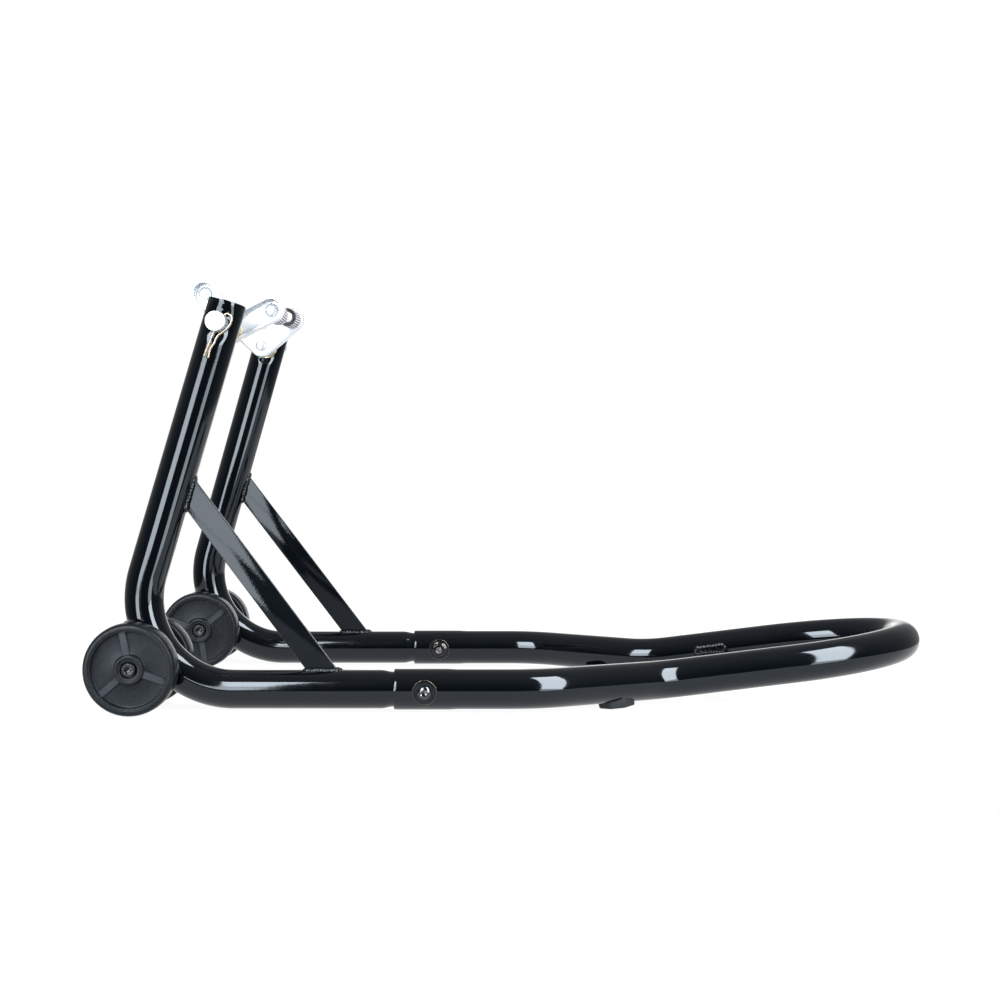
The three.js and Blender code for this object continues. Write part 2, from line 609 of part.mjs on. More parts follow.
/** One leg with all that it carries, drawn as the left one, with +Y towards the other leg. */
function leg(side) {
  const group = new THREE.Group();
  const leaning = new THREE.Group();
  const pivot = new THREE.Group();
  pivot.position.copy(PIVOT);
  const lastWasher = BRACKET.near - CLEARANCE - PIVOT_WASHER.thickness;
  pivot.add(
    cradle(side, CRADLE_TURN[side]),
    piece(`pivot_washer_outer_${side}`, pivotWasher(LEG.radius + 2 * CLEARANCE), YELLOW_ZINC),
    piece(`pivot_washer_inner_${side}`, pivotWasher(lastWasher), YELLOW_ZINC),
    piece(`pivot_spacer_${side}`, pivotSpacer(), ZINC),
  );
  leaning.add(
    piece(`leg_tube_${side}`, legTube(), STEEL_BLACK),
    piece(`leg_gusset_${side}`, gusset(), STEEL_SATIN),
    pivot,
  );
  leaning.position.z = TUBE_AXIS_HEIGHT;
  leaning.children.forEach((child) => { child.position.z -= TUBE_AXIS_HEIGHT; });
  leaning.rotation.x = -rad(LEG.inwardLean);
  group.add(
    leaning,
    piece(`axle_sleeve_${side}`, axleSleeve(), STEEL_BLACK),
    wheelSet(`outer_${side}`, -1, side === "left" ? -79 : 20),
    wheelSet(`inner_${side}`, 1, side === "left" ? 50 : -40),
    jointFasteners(side),
  );
  group.position.y = -TRACK / 2;
  return group;
}

/** The right leg: every piece of a left-handed one, mirrored, in the stand's own frame. */
function rightLeg() {
  const group = new THREE.Group();
  const source = leg("right");
  source.updateMatrixWorld(true);
  source.traverse((item) => {
    if (item.isMesh) {
      const geometry = mirrored(item.geometry.clone().applyMatrix4(item.matrixWorld));
      const mesh = new THREE.Mesh(geometry, item.material);
      mesh.name = item.name;
      group.add(mesh);
    }
  });
  return group;
}

const tubeFrame = new THREE.Group();
tubeFrame.add(
  leg("left"),
  rightLeg(),
  piece("handle_tube", handleTube(), STEEL_BLACK),
  piece("handle_brace", handleBrace(), STEEL_BLACK),
  piece("foot_left", foot(-1), STEEL_SATIN),
  piece("foot_right", foot(1), STEEL_SATIN),
);
tubeFrame.rotation.y = -rad(PITCH);

// The origin is on the floor, at the middle of the stand's length and width.
const stand = new THREE.Group();
stand.add(tubeFrame);
stand.updateMatrixWorld(true);
const extent = new THREE.Box3().setFromObject(stand, true);
const middle = extent.getCenter(vec(0, 0, 0));
tubeFrame.position.set(-middle.x, 0, -extent.min.z);

export default stand;
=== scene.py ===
"""Paddock stand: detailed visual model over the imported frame. Shapes are drawn in millimetres in the
stand's tube frame, and placed in metres by one matrix that comes from the frame's own wheel joint."""

import json
import math
import random

import bmesh
import bpy
from mathutils import Matrix, Vector, noise


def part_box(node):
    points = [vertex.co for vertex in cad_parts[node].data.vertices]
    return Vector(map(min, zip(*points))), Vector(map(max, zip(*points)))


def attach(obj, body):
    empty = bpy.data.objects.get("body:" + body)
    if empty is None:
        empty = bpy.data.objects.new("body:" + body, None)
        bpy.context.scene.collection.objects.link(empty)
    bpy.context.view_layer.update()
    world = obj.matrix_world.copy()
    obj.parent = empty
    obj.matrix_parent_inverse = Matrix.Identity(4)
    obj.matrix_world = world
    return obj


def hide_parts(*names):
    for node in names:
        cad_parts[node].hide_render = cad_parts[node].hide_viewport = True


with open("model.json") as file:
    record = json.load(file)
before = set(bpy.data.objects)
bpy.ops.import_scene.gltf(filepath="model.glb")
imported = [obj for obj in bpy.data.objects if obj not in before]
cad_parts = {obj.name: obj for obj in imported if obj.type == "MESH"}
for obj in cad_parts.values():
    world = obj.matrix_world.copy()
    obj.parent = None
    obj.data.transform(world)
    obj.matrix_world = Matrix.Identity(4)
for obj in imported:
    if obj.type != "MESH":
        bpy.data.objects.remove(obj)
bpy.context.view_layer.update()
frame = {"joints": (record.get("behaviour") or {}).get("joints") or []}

# ---------------------------------------------------------------- dimensions, in millimetres
TRACK = 310
AXIS_HEIGHT = 21
PITCH = math.radians(0.8)

LEG_RADIUS, LEG_WALL, LEG_BEND = 19, 2, 90
LEG_BEND_X = -265.8
LEG_LEAN = math.radians(16)
INWARD_LEAN = math.radians(1.9)
PIN_HEIGHT, TOP_ABOVE_PIN = 381.8, 23.6
SPIGOT_RADIUS, TAPER = 17.2, 12

SOCKET_X, SOCKET_RADIUS, SOCKET_LENGTH = -108, 20.1, 62
HANDLE_RADIUS, HANDLE_WALL, HANDLE_BENDS = 19.6, 1.8, (120, 90)
SHOULDER_X, WAIST_X, WAIST_HEIGHT = 33, 166, 19.5
GRIP_HALF, END_X, END_REACH, RISE = 86, 300, 134.7, math.radians(6.9)

BRACE_X, BRACE_WIDTH, BRACE_THICKNESS, BRACE_ABOVE = 236, 31, 5, 2
FOOT_X, FOOT_HALF, FOOT_HEIGHT, FOOT_TILT, FOOT_INSET = 115, 18, 11, math.radians(6.1), 46.5
GUSSET_X, GUSSET_Z, GUSSET_ANGLE = -231.8, 108.8, math.radians(127.1)
GUSSET_WIDTH, GUSSET_THICKNESS = 24.5, 5
JOINT_X = -77.4

WHEEL_RADIUS, WHEEL_HALF, WHEEL_OFFSET = 45, 11.8, 34.2
RIM_INNER, WEB_HALF, HUB_RADIUS, HUB_HALF, BORE = 37, 5, 14, 10.4, 6.4
WHEEL_TURN = {"outer_left": -79, "inner_left": 50, "outer_right": 20, "inner_right": -40}   # degrees
AXLE_X, AXLE_Z, AXLE_SLEEVE, AXLE_SLEEVE_HALF = -359.2, 45.9, 9, 20.4
GAP = 0.3                       # between neighbouring pieces
M8_BORE, WHEEL_WASHER, JOINT_WASHER, PIVOT_WASHER = 4.4, 1.2, 1.6, 2.4

PIN_RADIUS, PIN_HOLE, PIN_END, CLIP_AT = 10, 10.4, -31, -25.6
BRACKET_NEAR, BRACKET_FACE, BRACKET_WEB, BRACKET_WALL = 42, 56, 3.2, 2.4
BRACKET_RADIUS, BRACKET_FILLET, ARM, SPREAD = 13, 6, 47.2, math.radians(97)
CRADLE_TURN = {"left": math.radians(27.6), "right": math.radians(39.8)}
PEG_RADIUS, PEG_LENGTH, SLEEVE_LENGTH = 5.8, 41, 38.5
SLEEVE_ROOT, SLEEVE_CREST, SLEEVE_BORE = 9.9, 10.7, 6.1

# ---------------------------------------------------------------- placing
MM = 0.001
axle = next(j for j in frame["joints"] if j["name"] == "outer_left_wheel_spin")["pos_m"]
TUBE_FRAME = (
    Matrix.Translation((axle[0], 0, axle[2]))
    @ Matrix.Rotation(-PITCH, 4, "Y")
    @ Matrix.Scale(MM, 4)
    @ Matrix.Translation((-AXLE_X, 0, -AXLE_Z))
)
MIRROR = Matrix.Scale(-1, 4, (0, 1, 0))


def leg_matrix(side):
    """The frame of one leg, in which +Y points to the other leg."""
    placed = Matrix.Translation((0, -TRACK / 2, 0))
    return TUBE_FRAME @ placed if side == "left" else TUBE_FRAME @ MIRROR @ placed


def leaning_matrix(side):
    """The frame of what leans in with the upright."""
    lift = Matrix.Translation((0, 0, AXIS_HEIGHT))
    return leg_matrix(side) @ lift @ Matrix.Rotation(-INWARD_LEAN, 4, "X") @ lift.inverted()


# ---------------------------------------------------------------- materials
class Shader:
    """A small builder for one procedural material."""

    def __init__(self, name, **sockets):
        self.material = bpy.data.materials.new(name)
        self.material.use_nodes = True
        self.tree = self.material.node_tree
        self.surface = self.tree.nodes["Principled BSDF"]
        for key, value in sockets.items():
            self.surface.inputs[key.replace("_", " ")].default_value = value
        self.place = self.node("ShaderNodeTexCoord").outputs["Object"]

    def node(self, kind, **settings):
        made = self.tree.nodes.new(kind)
        for key, value in settings.items():
            setattr(made, key, value)
        return made

    def link(self, a, b):
        self.tree.links.new(a, b)

    def noise(self, scale, detail=4, stretch=None):
        made = self.node("ShaderNodeTexNoise")
        made.inputs["Scale"].default_value = scale
        made.inputs["Detail"].default_value = detail
        made.inputs["Roughness"].default_value = 0.55
        source = self.place
        if stretch:
            mapping = self.node("ShaderNodeMapping")
            mapping.inputs["Scale"].default_value = stretch
            self.link(source, mapping.inputs["Vector"])
            source = mapping.outputs["Vector"]
        self.link(source, made.inputs["Vector"])
        return made.outputs["Fac"]

    def cells(self, scale):
        made = self.node("ShaderNodeTexVoronoi")
        made.inputs["Scale"].default_value = scale
        self.link(self.place, made.inputs["Vector"])
        return made.outputs["Distance"]

    def ramp(self, value, *stops):
        """Colours along a value; each stop is (value, colour)."""
        made = self.node("ShaderNodeValToRGB")
        elements = made.color_ramp.elements
        while len(elements) < len(stops):
            elements.new(0.5)
        for element, (at, colour) in zip(elements, stops):
            element.position = at
            element.color = (*colour, 1)
        self.link(value, made.inputs["Fac"])
        return made.outputs["Color"]

    def spread(self, value, low, high, start=0.3, end=0.7):
        """The value from start to end, stretched to run from low to high."""
        made = self.node("ShaderNodeMapRange")
        made.inputs["From Min"].default_value = start
        made.inputs["From Max"].default_value = end
        made.inputs["To Min"].default_value = low
        made.inputs["To Max"].default_value = high
        self.link(value, made.inputs["Value"])
        return made.outputs["Result"]

    def edges(self, low=0.53, high=0.6):
        """Where the surface turns sharply outwards: the mask for edges painted lighter, a painted
        highlight.
        """
        geometry = self.node("ShaderNodeNewGeometry")
        return self.spread(geometry.outputs["Pointiness"], 0, 1, low, high)

    def facing_axis(self, low, high):
        """Where the surface faces along the axles and pins."""
        parts = self.node("ShaderNodeSeparateXYZ")
        self.link(self.node("ShaderNodeNewGeometry").outputs["True Normal"], parts.inputs[0])
        across = self.node("ShaderNodeMath", operation="ABSOLUTE")
        self.link(parts.outputs["Y"], across.inputs[0])
        return self.spread(across.outputs[0], 0, 1, low, high)

    def mix(self, fac, a, b):
        """From a to b, each a colour or another node's output."""
        made = self.node("ShaderNodeMix", data_type="RGBA")
        self.link(fac, made.inputs["Factor"])
        for value, socket in ((a, made.inputs[6]), (b, made.inputs[7])):
            if isinstance(value, tuple):
                socket.default_value = (*value, 1)
            else:
                self.link(value, socket)
        return made.outputs[2]

    def colour(self, value):
        self.link(value, self.surface.inputs["Base Color"])
        return self

    def rough(self, value):
        self.link(value, self.surface.inputs["Roughness"])
        return self

    def bump(self, *layers):
        """Each layer is (value, height in metres)."""
        last = None
        for value, height in layers:
            made = self.node("ShaderNodeBump")
            made.inputs["Distance"].default_value = height
            made.inputs["Strength"].default_value = 1.0
            self.link(value, made.inputs["Height"])
            if last:
                self.link(last, made.inputs["Normal"])
            last = made.outputs["Normal"]
        self.link(last, self.surface.inputs["Normal"])
        return self


COOL = (0.8, 0.9, 1.0, 1.0)     # the blue of reflections in black paint, plastic and rubber


def gloss_paint():
    """The tubes' black gloss paint, a little uneven."""
    s = Shader("gloss_paint", Specular_IOR_Level=0.42, Specular_Tint=COOL)
    s.colour(s.ramp(s.noise(9, 3), (0.35, (0.0003, 0.0007, 0.0012)), (0.7, (0.0005, 0.001, 0.0017))))
    s.rough(s.spread(s.noise(60, 5), 0.05, 0.1))
    return s.bump((s.noise(90, 2), 0.00003), (s.noise(900, 2), 0.000002)).material


def satin_paint():
    """The gussets' paint, with weaker reflections and a fine grain."""
    s = Shader("satin_paint", Specular_IOR_Level=0.2, Specular_Tint=COOL)
    s.colour(s.ramp(s.noise(40, 4), (0.3, (0.0012, 0.0018, 0.0026)), (0.75, (0.0022, 0.003, 0.004))))
    s.rough(s.spread(s.noise(300, 4), 0.04, 0.06))
    return s.bump((s.noise(500, 3), 0.00003), (s.cells(900), 0.000015)).material


def weld_paint():
    """The same paint over the ripples of a weld."""
    s = Shader("weld_paint", Specular_IOR_Level=0.4, Specular_Tint=COOL)
    s.colour(s.ramp(s.noise(200, 4), (0.3, (0.0008, 0.0011, 0.0016)), (0.75, (0.002, 0.0025, 0.0032))))
    s.rough(s.spread(s.noise(400, 3), 0.2, 0.38))
    return s.bump((s.noise(500, 4), 0.0003)).material


def wheel_plastic():
    """Black moulded plastic, painted lighter at its edges: a painted highlight."""
    s = Shader("wheel_plastic", Specular_IOR_Level=0.15, Specular_Tint=COOL)
    base = s.ramp(s.noise(120, 5), (0.3, (0.0034, 0.0042, 0.0054)), (0.75, (0.0056, 0.0068, 0.0084)))
    # painted highlight: the edges are mixed towards a paler grey
    s.colour(s.mix(s.edges(0.52, 0.62), base, (0.016, 0.019, 0.023)))
    s.rough(s.spread(s.noise(260, 5), 0.22, 0.36))
    return s.bump((s.noise(1400, 3), 0.00003), (s.noise(150, 2), 0.00008)).material


def foot_rubber():
    """Dull black rubber."""
    s = Shader("foot_rubber", Specular_IOR_Level=0.35, Specular_Tint=COOL)
    s.colour(s.ramp(s.noise(150, 5), (0.3, (0.003, 0.0035, 0.004)), (0.75, (0.006, 0.007, 0.008))))
    s.rough(s.spread(s.noise(300, 4), 0.5, 0.7))
    return s.bump((s.noise(1100, 4), 0.00008)).material


def sleeve_rubber():
    """Grey rubber with a painted highlight on its rib crests, and a dark end."""
    s = Shader("sleeve_rubber", Specular_IOR_Level=0.3)
    base = s.ramp(s.noise(300, 5), (0.3, (0.035, 0.034, 0.04)), (0.75, (0.06, 0.058, 0.068)))
    # painted highlight: the rib crests are painted pale
    ribs = s.mix(s.edges(0.485, 0.52), base, (0.42, 0.41, 0.47))
    s.colour(s.mix(s.facing_axis(0.5, 0.8), ribs, (0.006, 0.006, 0.007)))
    s.rough(s.spread(s.noise(500, 4), 0.5, 0.72))
    return s.bump((s.noise(1600, 4), 0.00007)).material


def white_zinc():
    """Bright zinc plating with faint cloudy patches, and a painted highlight on its edges."""
    s = Shader("white_zinc", Metallic=0.55)
    tone = s.ramp(
        s.noise(90, 5), (0.3, (0.43, 0.47, 0.51)), (0.55, (0.49, 0.53, 0.57)), (0.8, (0.54, 0.57, 0.6)))
    # painted highlight: the edges are painted a paler grey
    s.colour(s.mix(s.edges(), tone, (0.74, 0.77, 0.8)))
    s.rough(s.spread(s.noise(500, 5), 0.26, 0.42))
    return s.bump((s.noise(260, 4), 0.00004), (s.noise(1900, 3), 0.00002)).material


def pin_zinc():
    """Zinc plating on the turned pins, with fine lines round the axis."""
    s = Shader("pin_zinc", Metallic=0.5)
    s.colour(s.ramp(s.noise(200, 4), (0.3, (0.33, 0.36, 0.4)), (0.75, (0.4, 0.42, 0.46))))
    s.rough(s.spread(s.noise(1200, 4, stretch=(1, 0.12, 1)), 0.26, 0.42))
    return s.bump((s.noise(1500, 3, stretch=(1, 0.1, 1)), 0.00003)).material


def yellow_zinc():
    """Yellow plating with a hint of green and pink, and a painted highlight on its edges."""
    s = Shader("yellow_zinc", Metallic=1.0)
    tone = s.ramp(
        s.noise(140, 4), (0.25, (0.46, 0.36, 0.17)), (0.45, (0.58, 0.46, 0.24)),
        (0.6, (0.54, 0.49, 0.33)), (0.8, (0.54, 0.38, 0.29)))
    # painted highlight: the edges are painted a paler gold
    s.colour(s.mix(s.edges(0.51, 0.56), tone, (0.8, 0.68, 0.44)))
    s.rough(s.spread(s.noise(600, 4), 0.18, 0.28))
    return s.bump((s.noise(900, 3), 0.00001)).material


def zinc_with_painted_shade(name, shine):
    """Yellow plating whose flats are painted near black, a painted shade for the dark surroundings they
    reflect; the rims keep a plating tone.
    """
    s = Shader(name, Metallic=0.9)
    dull, bright_plating = (0.2, 0.165, 0.105), (0.29, 0.245, 0.17)
    low, high = (tuple(shine * c for c in tone) for tone in (dull, bright_plating))
    # painted shade: the flats are painted near black, for the dark surroundings they reflect
    flats = s.ramp(s.noise(200, 4), (0.3, (0.012, 0.015, 0.019)), (0.75, (0.024, 0.027, 0.032)))
    rims = s.ramp(s.noise(150, 3), (0.35, low), (0.65, high))
    s.colour(s.mix(s.facing_axis(0.75, 0.97), rims, flats))
    s.rough(s.spread(s.noise(600, 4), 0.12, 0.2))
    return s.bump((s.noise(900, 3), 0.00001)).material


def spring_wire():
    """Polished spring wire with straw-coloured patches."""
    s = Shader("spring_wire", Metallic=1.0)
    grey, straw, pale = (0.24, 0.235, 0.23), (0.27, 0.215, 0.145), (0.27, 0.26, 0.25)
    s.colour(s.ramp(s.noise(90, 2), (0.35, grey), (0.5, straw), (0.65, pale)))
    s.rough(s.spread(s.noise(900, 3), 0.12, 0.22))
    return s.bump((s.noise(2200, 2), 0.00001)).material


def bright_steel():
    """The joint bolts' shiny steel, painted dark on its faces, a painted shade for the dark surroundings
    they reflect, and painted light at its edges, a painted highlight.
    """
    s = Shader("bright_steel", Metallic=1.0)
    # painted shade: the faces are near black; below, painted highlight: the edges are pale
    base = s.ramp(s.noise(250, 5), (0.3, (0.05, 0.052, 0.062)), (0.75, (0.08, 0.082, 0.094)))
    s.colour(s.mix(s.edges(), base, (0.3, 0.3, 0.32)))
    s.rough(s.spread(s.noise(700, 4), 0.08, 0.15))
    return s.bump((s.noise(1200, 3), 0.00001)).material


def black_oxide():
    """The wheel screws' blackened steel, painted lighter at its edges: a painted highlight."""
    s = Shader("black_oxide", Metallic=0.85)
    base = s.ramp(s.noise(250, 5), (0.3, (0.008, 0.009, 0.011)), (0.75, (0.017, 0.018, 0.021)))
    # painted highlight: the edges are painted a paler grey
    s.colour(s.mix(s.edges(0.52, 0.58), base, (0.13, 0.13, 0.14)))
    s.rough(s.spread(s.noise(700, 4), 0.16, 0.28))
    return s.bump((s.noise(1200, 3), 0.00003)).material


GLOSS, SATIN, WELD, WHEEL = gloss_paint(), satin_paint(), weld_paint(), wheel_plastic()
FOOT, SLEEVE, ZINC, PIN = foot_rubber(), sleeve_rubber(), white_zinc(), pin_zinc()
YELLOW, WIRE, OXIDE, STEEL = yellow_zinc(), spring_wire(), black_oxide(), bright_steel()
# yellow zinc with painted shade on its flats, for the joint washers and, with dimmer rims, the nuts
SHADED_ZINC, NUT = zinc_with_painted_shade("zinc_with_painted_shade", 1), zinc_with_painted_shade("nut_zinc", 0.25)


# ---------------------------------------------------------------- mesh builders
def emit(name, mesh, matrix, body, nodes, material, sharp=32, bevel=0.0):
    """Makes one piece from a bmesh drawn in millimetres; sharp is the angle of a hard edge in degrees."""
    bmesh.ops.remove_doubles(mesh, verts=mesh.verts, dist=0.0005)
    bmesh.ops.recalc_face_normals(mesh, faces=mesh.faces)
    if bevel:
        edges = [e for e in mesh.edges if len(e.link_faces) == 2 and e.calc_face_angle() > math.radians(40)]
        bmesh.ops.bevel(
            mesh, geom=edges, offset=bevel, segments=3, profile=0.5, affect="EDGES", clamp_overlap=True)
    mesh.transform(matrix)
    if matrix.determinant() < 0:
        bmesh.ops.reverse_faces(mesh, faces=mesh.faces)
    data = bpy.data.meshes.new(name)
    mesh.to_mesh(data)
    mesh.free()
    data.polygons.foreach_set("use_smooth", [True] * len(data.polygons))
    data.set_sharp_from_angle(angle=math.radians(sharp))
    data.materials.append(material)
    piece = bpy.data.objects.new(name, data)
    bpy.context.scene.collection.objects.link(piece)
    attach(piece, body)
    if nodes:
        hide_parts(*nodes)


def bridge(mesh, rings, closed=True, wrap=False):
    """Quads between consecutive rings of vertices."""
    pairs = list(zip(rings, rings[1:])) + ([(rings[-1], rings[0])] if wrap else [])
    for a, b in pairs:
        count = len(a)
        for i in range(count if closed else count - 1):
            j = (i + 1) % count
            corners = [a[i], a[j], b[j], b[i]]
            if len(set(corners)) == 4:
                mesh.faces.new(corners)


def hex_radius(flat, angle):
    """The radius at an angle of a hexagon with that distance to its flats."""
    sixth = math.pi / 3
    return flat / math.cos((angle % sixth) - sixth / 2)


def turned(profile, segments=64, wrap=False):
    """A solid of revolution about Y. A profile entry is (radius, y) or (flats, y, "hex"), or
    (flats, y, radius) for a hexagon trimmed to a circle. Ends on the axis are closed with a fan."""
    mesh = bmesh.new()
    rings = []
    for entry in profile:
        ring = []
        for k in range(segments):
            angle = 2 * math.pi * k / segments
            r = entry[0]
            if len(entry) == 3:
                r = hex_radius(entry[0], angle)
                if entry[2] != "hex":
                    r = min(r, entry[2])
            ring.append(mesh.verts.new((r * math.cos(angle), entry[1], r * math.sin(angle))))
        rings.append(ring)
    bridge(mesh, rings, wrap=wrap)
    if not wrap:
        mesh.faces.new(rings[0])
        mesh.faces.new(rings[-1])
    return mesh


def rounded(points, radius, steps=4):
    """A profile whose corners are rounded; each point is (r, y) or (r, y, own radius)."""
    out = []
    for i, point in enumerate(points):
        here = Vector(point[:2])
        size = point[2] if len(point) > 2 else radius
        if i in (0, len(points) - 1) or size <= 0:
            out.append(tuple(here))
            continue
        before, after = Vector(points[i - 1][:2]) - here, Vector(points[i + 1][:2]) - here
        reach = min(size, before.length * 0.45, after.length * 0.45)
        a, b = here + before.normalized() * reach, here + after.normalized() * reach
        for k in range(steps + 1):
            t = k / steps
            out.append(tuple(a * (1 - t) ** 2 + here * 2 * t * (1 - t) + b * t * t))
    return out


def dome(radius, start, height, steps=6, quarter=6):
    """A domed end's profile: the first steps of a quarter of an ellipse, from its rim."""
    angles = [k * math.pi / 2 / quarter for k in range(steps)]
    return [(radius * math.cos(a), start + height * math.sin(a)) for a in angles]


def ring_profile(outer, inner, start, end, soft=0.3):
    """A washer or bush's closed profile."""
    middle = (inner, (start + end) / 2)
    return rounded([middle, (inner, start), (outer, start), (outer, end), (inner, end), middle], soft)[:-1]


def bent_path(corners, radii, step=3.0):
    """Points along a bent tube, with straight runs between rounded corners, about `step` apart."""
    corners = [Vector(c) for c in corners]
    points = [corners[0]]

    def straight(to):
        start = points[-1].copy()
        count = max(1, round((to - start).length / step))
        points.extend(start.lerp(to, k / count) for k in range(1, count + 1))

    for i in range(1, len(corners) - 1):
        before = (corners[i] - corners[i - 1]).normalized()
        after = (corners[i + 1] - corners[i]).normalized()
        turn = before.angle(after)
        axis = before.cross(after).normalized()
        radius = radii[i - 1]
        start = corners[i] - before * radius * math.tan(turn / 2)
        centre = start + axis.cross(before) * radius
        straight(start)
        count = max(3, round(radius * turn / step))
        for k in range(1, count + 1):
            points.append(centre + Matrix.Rotation(turn * k / count, 3, axis) @ (start - centre))
    straight(corners[-1])
    return points


def sweep(mesh, points, radius, segments=64, up=Vector((0, 1, 0)), shape=None, caps=False):
    """Rings along points. The radius is a number or a function of the point's index, and shape, if given,
    places each vertex from its point and offset."""
    rings = []
    normal = None
    for i, point in enumerate(points):
        a, b = points[max(i - 1, 0)], points[min(i + 1, len(points) - 1)]
        along = (b - a).normalized()
        normal = up if normal is None else normal
        normal = (normal - along * normal.dot(along)).normalized()
        side = along.cross(normal)
        r = radius(i) if callable(radius) else radius
        ring = []
        for k in range(segments):
            angle = 2 * math.pi * k / segments
            offset = (normal * math.cos(angle) + side * math.sin(angle)) * r
            ring.append(mesh.verts.new(shape(point, offset) if shape else point + offset))
        rings.append(ring)
    bridge(mesh, rings)
    if caps:
        mesh.faces.new(rings[0])
        mesh.faces.new(rings[-1])
    return rings


def weld_bead(mesh, points, size, seed):
    """A hand-laid bead: overlapping ripples of uneven width."""
    rng = random.Random(seed)
    path = []
    for a, b in zip(points, points[1:]):
        count = max(1, round((Vector(b) - Vector(a)).length / 0.6))
        path += [Vector(a).lerp(Vector(b), k / count) for k in range(count)]
    path.append(Vector(points[-1]))
    phase = rng.random() * 6

    def stray():
        return Vector((rng.uniform(-1, 1), rng.uniform(-1, 1), rng.uniform(-1, 1))) * size * 0.14

    wobble = [stray() for _ in range(len(path) // 4 + 3)]
    placed = []
    for i, point in enumerate(path):
        k, t = divmod(i / 4, 1)
        placed.append(point + wobble[int(k)].lerp(wobble[int(k) + 1], t))

    def width(i):
        ripple = 0.84 + 0.16 * abs(math.sin(phase + i * 0.55))
        ends = min(1.0, 0.35 + 0.3 * min(i, len(placed) - 1 - i))
        lump = 0.16 * noise.noise(Vector((seed * 3.1, i * 0.11, 0)))
        return size * (ripple + lump) * ends

    sweep(mesh, placed, width, segments=12, up=Vector((0.13, 0.3, 0.94)), caps=True)


# ---------------------------------------------------------------- legs
UPRIGHT = Vector((math.sin(LEG_LEAN), 0, math.cos(LEG_LEAN)))


def on_upright(height):
    """The point of the upright's axis at that height."""
    bend_centre = Vector((LEG_BEND_X, 0, AXIS_HEIGHT + LEG_BEND))
    tangent = bend_centre + Vector((-UPRIGHT.z, 0, UPRIGHT.x)) * LEG_BEND
    return tangent + UPRIGHT * ((height - tangent.z) / UPRIGHT.z)


PIVOT = on_upright(PIN_HEIGHT)
LEG_TOP = PIVOT + UPRIGHT * TOP_ABOVE_PIN


def pin_dent(point):
    """The upright is pressed flatter round the pin."""
    offset = point - PIVOT
    reach = math.hypot(offset.x, offset.z)
    fade = max(0.0, 1 - max(0.0, reach - 12.5) / 9)
    fade = fade * fade * (3 - 2 * fade)
    if fade and abs(offset.y) > 8:
        point.y -= math.copysign(1.5 * fade * max(0.0, (abs(offset.y) - 8) / 11), offset.y)
    return point


def leg_tube(side):
    """The bent tube from its open top to the spigot in the handle's socket, pierced for the pivot pin."""
    mesh = bmesh.new()
    segments, fine = 72, 1.4
    heel = on_upright(AXIS_HEIGHT)
    below = PIVOT - UPRIGHT * 30
    count = round((LEG_TOP - below).length / fine)
    path = [LEG_TOP.lerp(below, k / count) for k in range(count)]
    taper_end = SOCKET_X - 1
    taper_start = taper_end - TAPER
    path += bent_path([below, heel, (taper_start, 0, AXIS_HEIGHT)], [LEG_BEND], 3)
    first_taper = len(path)
    path += [Vector((taper_start + TAPER * k / 6, 0, AXIS_HEIGHT)) for k in range(1, 7)]
    path += [Vector((taper_end + 55 * k / 8, 0, AXIS_HEIGHT)) for k in range(1, 9)]

    def radius(inset):
        def at(i):
            t = min(1.0, max(0.0, (i - first_taper + 1) / 6))
            t = t * t * (3 - 2 * t)
            lip = 0.35 if i == 0 else 0.1 if i == 1 else 0
            return LEG_RADIUS + (SPIGOT_RADIUS - LEG_RADIUS) * t - inset + (lip if inset else -lip)
        return at

    path.insert(1, LEG_TOP - UPRIGHT * 0.35)
    first_taper += 1

    def open_pin(point, offset):
        """Rings near the pin's hole are drawn to its edge."""
        vertex = point + offset
        from_pin = vertex - PIVOT
        flat = Vector((from_pin.x, 0, from_pin.z))
        if 8.9 < flat.length < PIN_HOLE and abs(offset.y) > 8:
            flat = flat.normalized() * PIN_HOLE
            vertex = PIVOT + flat + Vector((0, from_pin.y, 0))
        return pin_dent(vertex)

    outer = sweep(mesh, path, radius(0), segments, shape=open_pin)
    inner = sweep(mesh, path, radius(LEG_WALL), segments, shape=open_pin)
    bridge(mesh, [outer[0], inner[0]])
    bridge(mesh, [outer[-1], inner[-1]])
    gone = [v for v in mesh.verts if math.hypot(v.co.x - PIVOT.x, v.co.z - PIVOT.z) < PIN_HOLE - 0.2]
    bmesh.ops.delete(mesh, geom=gone, context="VERTS")
    emit(f"leg_tube_{side}_looks", mesh, leaning_matrix(side), "frame", [f"leg_tube_{side}"],
         GLOSS, sharp=50)


def gusset_frame():
    """The flat bar's own directions, along and across it."""
    along = Vector((math.cos(GUSSET_ANGLE), 0, math.sin(GUSSET_ANGLE)))
    return along, Vector((along.z, 0, -along.x))


def gusset_corners():
    """Low and high corner of each edge of the flat bar: [(low, high), (low, high)]."""
    along, across = gusset_frame()
    normal = Vector((UPRIGHT.z, 0, -UPRIGHT.x))
    corners = []
    for sign in (-1, 1):
        edge = Vector((GUSSET_X, 0, GUSSET_Z)) + across * (sign * GUSSET_WIDTH / 2)
        low = edge + along * ((AXIS_HEIGHT + LEG_RADIUS - 1 - edge.z) / along.z)
        high = edge + along * (((PIVOT - edge).dot(normal) + LEG_RADIUS - 1) / along.dot(normal))
        corners.append((low, high))
    return corners


